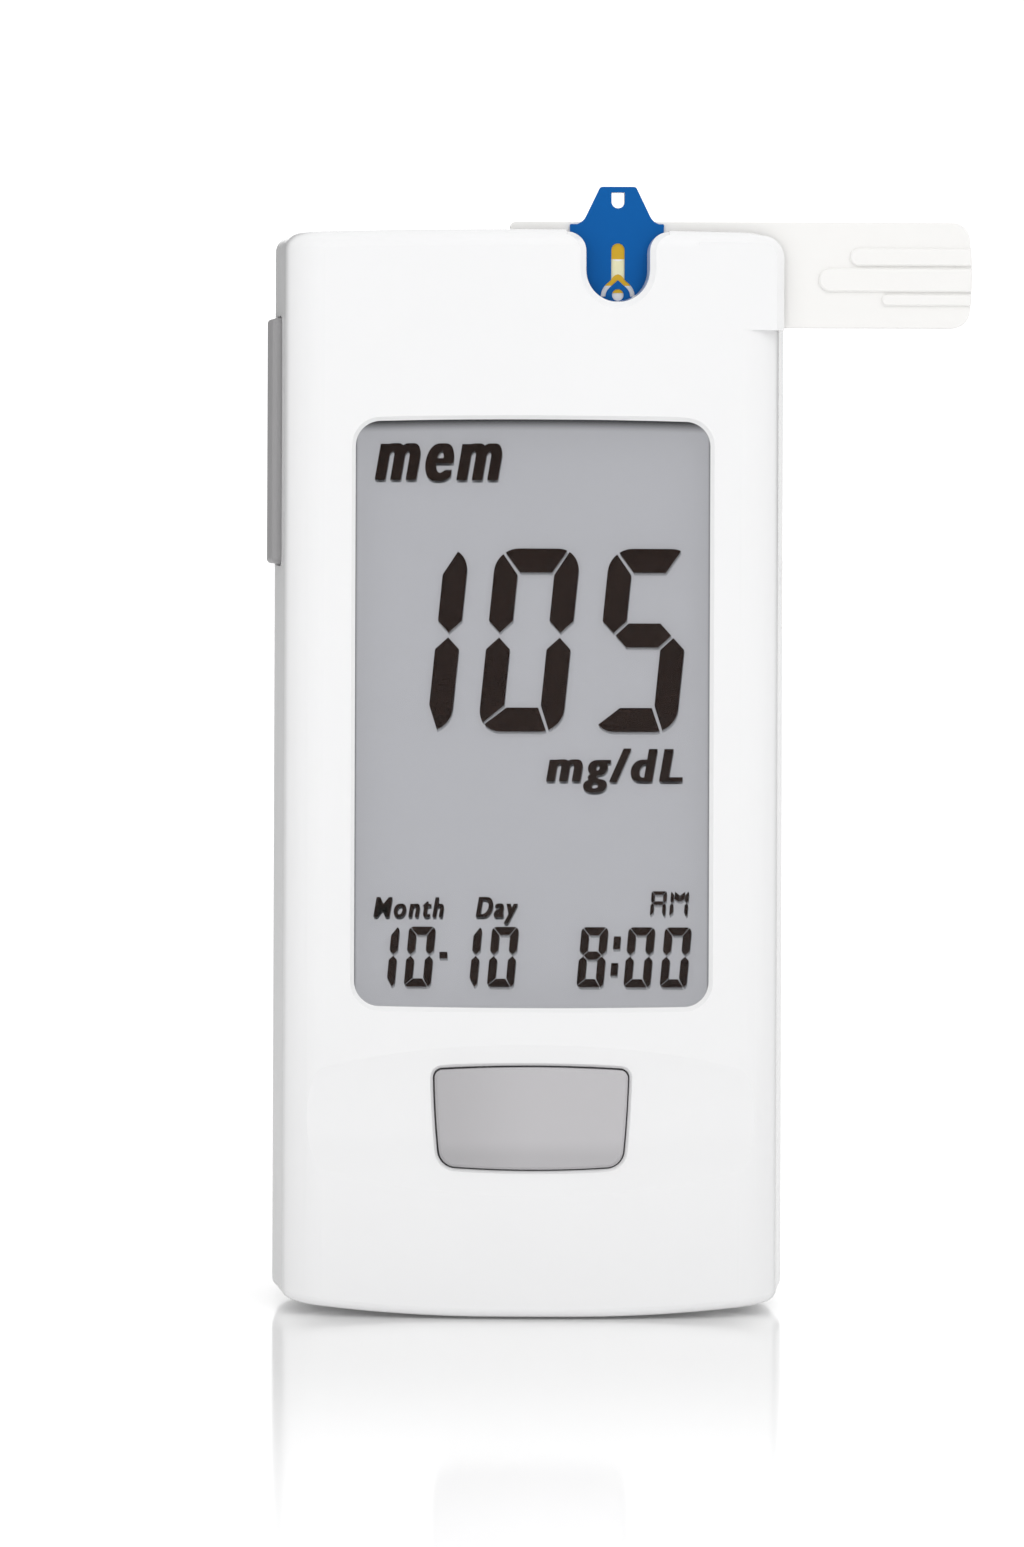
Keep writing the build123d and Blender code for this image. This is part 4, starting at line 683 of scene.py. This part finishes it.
# Piece, words, left, low, height, width and weight in millimetres.
WORDS = (
    ("symbol_memory", "mem", -13.92, 73.45, 3.3, 11.43, 0.5),
    ("symbol_unit", "mg/dL", 1.3, 46.95, 2.9, 12.5, 0.4),
    ("symbol_month", "Month", -13.9, 34.9, 1.75, 6.4, 0.15),
    ("symbol_day", "Day", -4.87, 34.95, 1.75, 3.86, 0.2),
)


def letter_mesh(name, words):
    """Upright words in the font's own size, lying in the XY plane."""
    curve = bpy.data.curves.new(name + "_text", "FONT")
    curve.body = words
    curve.offset = LETTER_SWELL
    curve.extrude = LETTER_EXTRUDE
    curve.space_character = LETTER_SPACING
    curve.resolution_u = LETTER_CURVE_STEPS
    helper = added(name + "_text", curve)
    bpy.context.view_layer.update()
    mesh = bpy.data.meshes.new_from_object(helper)
    bpy.data.objects.remove(helper)
    return mesh


def text_piece(name, words, left, low, height, width, weight):
    """Words as thin plates, fitted to a box, leaned and made heavy by copies shifted sideways."""
    mesh = letter_mesh(name, words)
    xs = [vertex.co.x for vertex in mesh.vertices]
    zs = [vertex.co.y for vertex in mesh.vertices]
    x_low, x_high, z_high = min(xs), max(xs), max(zs)
    z_low = 0.0 if any(letter in words for letter in DESCENDING) else min(zs)
    scale_z = height / (z_high - z_low)
    scale_x = (width - WORD_SLANT * height - weight) / (x_high - x_low)
    shape = bmesh.new()
    for number in range(LETTER_COPIES):
        shift = weight * number / (LETTER_COPIES - 1)
        before = set(shape.verts)
        shape.from_mesh(mesh)
        for vertex in [vertex for vertex in shape.verts if vertex not in before]:
            x = (vertex.co.x - x_low) * scale_x + shift
            z = (vertex.co.y - z_low) * scale_z
            y = SYMBOL_Y - COPY_FORWARD * number
            if vertex.co.z > 0:
                y -= SYMBOL_THICKNESS
            vertex.co = ((left + x + WORD_SLANT * z) * MM, y, (low + z) * MM)
    bmesh.ops.recalc_face_normals(shape, faces=shape.faces[:])
    for face in shape.faces:
        face.smooth = False
    shape.to_mesh(mesh)
    shape.free()
    mesh.materials.clear()
    return added(name, mesh)


for word in WORDS:
    add_symbol(text_piece(*word))

# --- Reagent in the channel of the strip ------------------------------------------------------

CHANNEL_X, CHANNEL_HALF = 7.5, 0.58
CHANNEL_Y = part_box("strip_cover")[1].y - 0.03 * MM
FILM_THICKNESS = 0.02 * MM
REAGENT_TOP, REAGENT_TOP_SAG = 93.1, 0.22
REAGENT_FOOT, REAGENT_FOOT_RISE = 91.3, 0.42
VENT_Z, VENT_RADIUS = 89.9, 0.5
VENT_START, VENT_STOP = 20, 160


def add_reagent(piece, material):
    """Gives a piece in the strip's channel its material and lets it move with the strip."""
    piece.data.materials.append(material)
    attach(piece, "strip")


def sagging(z, sag, steps=8):
    """Points from the right to the left of the channel on a shallow arc."""
    xs = [1 - 2 * step / steps for step in range(steps + 1)]
    return [(CHANNEL_X + CHANNEL_HALF * x, z - sag * (1 - x * x)) for x in xs]


reagent = sagging(REAGENT_TOP, REAGENT_TOP_SAG) + sagging(REAGENT_FOOT, -REAGENT_FOOT_RISE)[::-1]
add_reagent(flat_piece("reagent_film", [reagent], CHANNEL_Y, FILM_THICKNESS), reagent_cream)
cap = arc(CHANNEL_X, VENT_Z, VENT_RADIUS, VENT_START, VENT_STOP, steps=10)
add_reagent(flat_piece("vent_gold", [cap], CHANNEL_Y, FILM_THICKNESS), gold)

# --- Floor ------------------------------------------------------------------------------------

FLOOR_REACH = 6.0
FLOOR_LEVEL = -0.22 * MM  # just clear of the foot
FLOOR_WHITE = (0.93, 0.93, 0.93, 1)
# Painted glow of the floor, from near the viewer to just before the foot.
GLOW_NEAR_Y, GLOW_FOOT_Y = -0.12, -0.03
GLOW_NEAR, GLOW_FOOT = 0.22, 0.03


def floor_material():
    """Pale glossy table with a painted glow, which fades its reflection of the meter towards the
    viewer.
    """
    material, tree, surface = empty_material("floor_gloss")
    surface.inputs["Base Color"].default_value = FLOOR_WHITE
    surface.inputs["Emission Strength"].default_value = 1.0
    surface.inputs["Roughness"].default_value = 0.1
    surface.inputs["Specular IOR Level"].default_value = 0.35
    depth = axes(tree, object_place(tree))["Y"]
    # Painted glow, strongest near the viewer and faint at the foot.
    glow = ramp(tree, depth, GLOW_NEAR_Y, GLOW_FOOT_Y, GLOW_NEAR, GLOW_FOOT)
    feed(tree, glow, surface.inputs["Emission Color"])
    return material


def make_floor():
    """Wide flat floor just below the foot of the meter."""
    mesh = bpy.data.meshes.new("floor")
    shape = bmesh.new()
    corners = [(-FLOOR_REACH, -FLOOR_REACH), (FLOOR_REACH, -FLOOR_REACH)]
    corners += [(FLOOR_REACH, FLOOR_REACH), (-FLOOR_REACH, FLOOR_REACH)]
    shape.faces.new([shape.verts.new((x, y, FLOOR_LEVEL)) for x, y in corners])
    shape.to_mesh(mesh)
    shape.free()
    floor = added("floor", mesh)
    floor.data.materials.append(floor_material())


# --- Light ------------------------------------------------------------------------------------

MIDDLE = (0.0, 0.0, 0.05)
LAMP_SIDE = 0.8
KEY_PLACE, KEY_POWER = (0.35, -0.9, 0.8), 3.74
FILL_PLACE, FILL_POWER = (-0.6, -0.9, 0.35), 2.02

# Brightness of the surroundings along an axis of the direction: axis, start, stop, low, high.
LEFT_TO_RIGHT = ("X", -0.9, 0.9, 0.761, 0.873)
FRONT_TO_SIDE = ("Y", -0.9, 0.0, 0.76, 1.1)
BELOW_TO_LEVEL = ("Z", -0.9, 0.1, 0.67, 1.0)
BACKDROP = ("Y", 0.93, 0.985, 1.0, 1.45)
# Dark cards behind the meter, left and right of the backdrop, which its sides reflect.
CARDS_DEPTH = ("Y", 0.55, 0.85, 0.0, 1.0)
LEFT_CARD = ("X", -0.1, -0.22, 0.0, 0.85)
RIGHT_CARD = ("X", 0.16, 0.28, 0.0, 0.75)


def soft_light(name, place, power):
    """Square soft box that faces the middle of the meter."""
    lamp = bpy.data.lights.new(name, "AREA")
    lamp.shape = "SQUARE"
    lamp.size = LAMP_SIDE
    lamp.energy = power
    holder = added(name, lamp)
    holder.location = place
    direction = Vector(MIDDLE) - Vector(place)
    holder.rotation_euler = direction.to_track_quat("-Z", "Y").to_euler()
    holder.visible_glossy = False


def studio_world():
    """Soft white surroundings, darker at the left and below, with a bright backdrop and two cards."""
    world = bpy.data.worlds.new("studio")
    bpy.context.scene.world = world
    world.use_nodes = True
    tree = world.node_tree
    back = tree.nodes["Background"]
    back.inputs["Color"].default_value = (1, 1, 1, 1)
    direction = axes(tree, tree.nodes.new("ShaderNodeTexCoord").outputs["Generated"])

    def along(axis, *span):
        """Brightness that changes along one axis of the direction."""
        return ramp(tree, direction[axis], *span)

    level = maths(tree, "MULTIPLY", along(*LEFT_TO_RIGHT), along(*FRONT_TO_SIDE))
    level = maths(tree, "MULTIPLY", level, along(*BELOW_TO_LEVEL))
    level = maths(tree, "MULTIPLY", level, along(*BACKDROP))
    behind = along(*CARDS_DEPTH)
    for card in (LEFT_CARD, RIGHT_CARD):
        taken = maths(tree, "MULTIPLY", behind, along(*card))
        level = maths(tree, "MULTIPLY", level, maths(tree, "SUBTRACT", 1.0, taken))
    feed(tree, level, back.inputs["Strength"])


make_floor()
soft_light("key_light", KEY_PLACE, KEY_POWER)
soft_light("fill_light", FILL_PLACE, FILL_POWER)
studio_world()

# --- Camera -----------------------------------------------------------------------------------

FOCAL_LENGTH, SENSOR_SIDE = 129.6, 36.0  # in mm, the sensor's side along the long side of the image
SHIFT_X, SHIFT_Y = 0.1187, -0.1790
CAMERA_PLACE = (-0.018, -0.5, 0.072)
CAMERA_ROLL = -0.2
NEAREST, FARTHEST = 0.01, 50.0


def make_camera():
    """Level camera in front of the meter, shifted to frame it with its reflection."""
    camera_data = bpy.data.cameras.new("camera")
    camera_data.lens = FOCAL_LENGTH
    camera_data.sensor_width = SENSOR_SIDE
    camera_data.clip_start = NEAREST
    camera_data.clip_end = FARTHEST
    camera_data.shift_x = SHIFT_X
    camera_data.shift_y = SHIFT_Y
    camera = added("camera", camera_data)
    camera.location = CAMERA_PLACE
    camera.rotation_euler = (radians(90), radians(CAMERA_ROLL), 0)
    return camera


scene = bpy.context.scene
scene.view_settings.view_transform = "Standard"
scene.camera = make_camera()
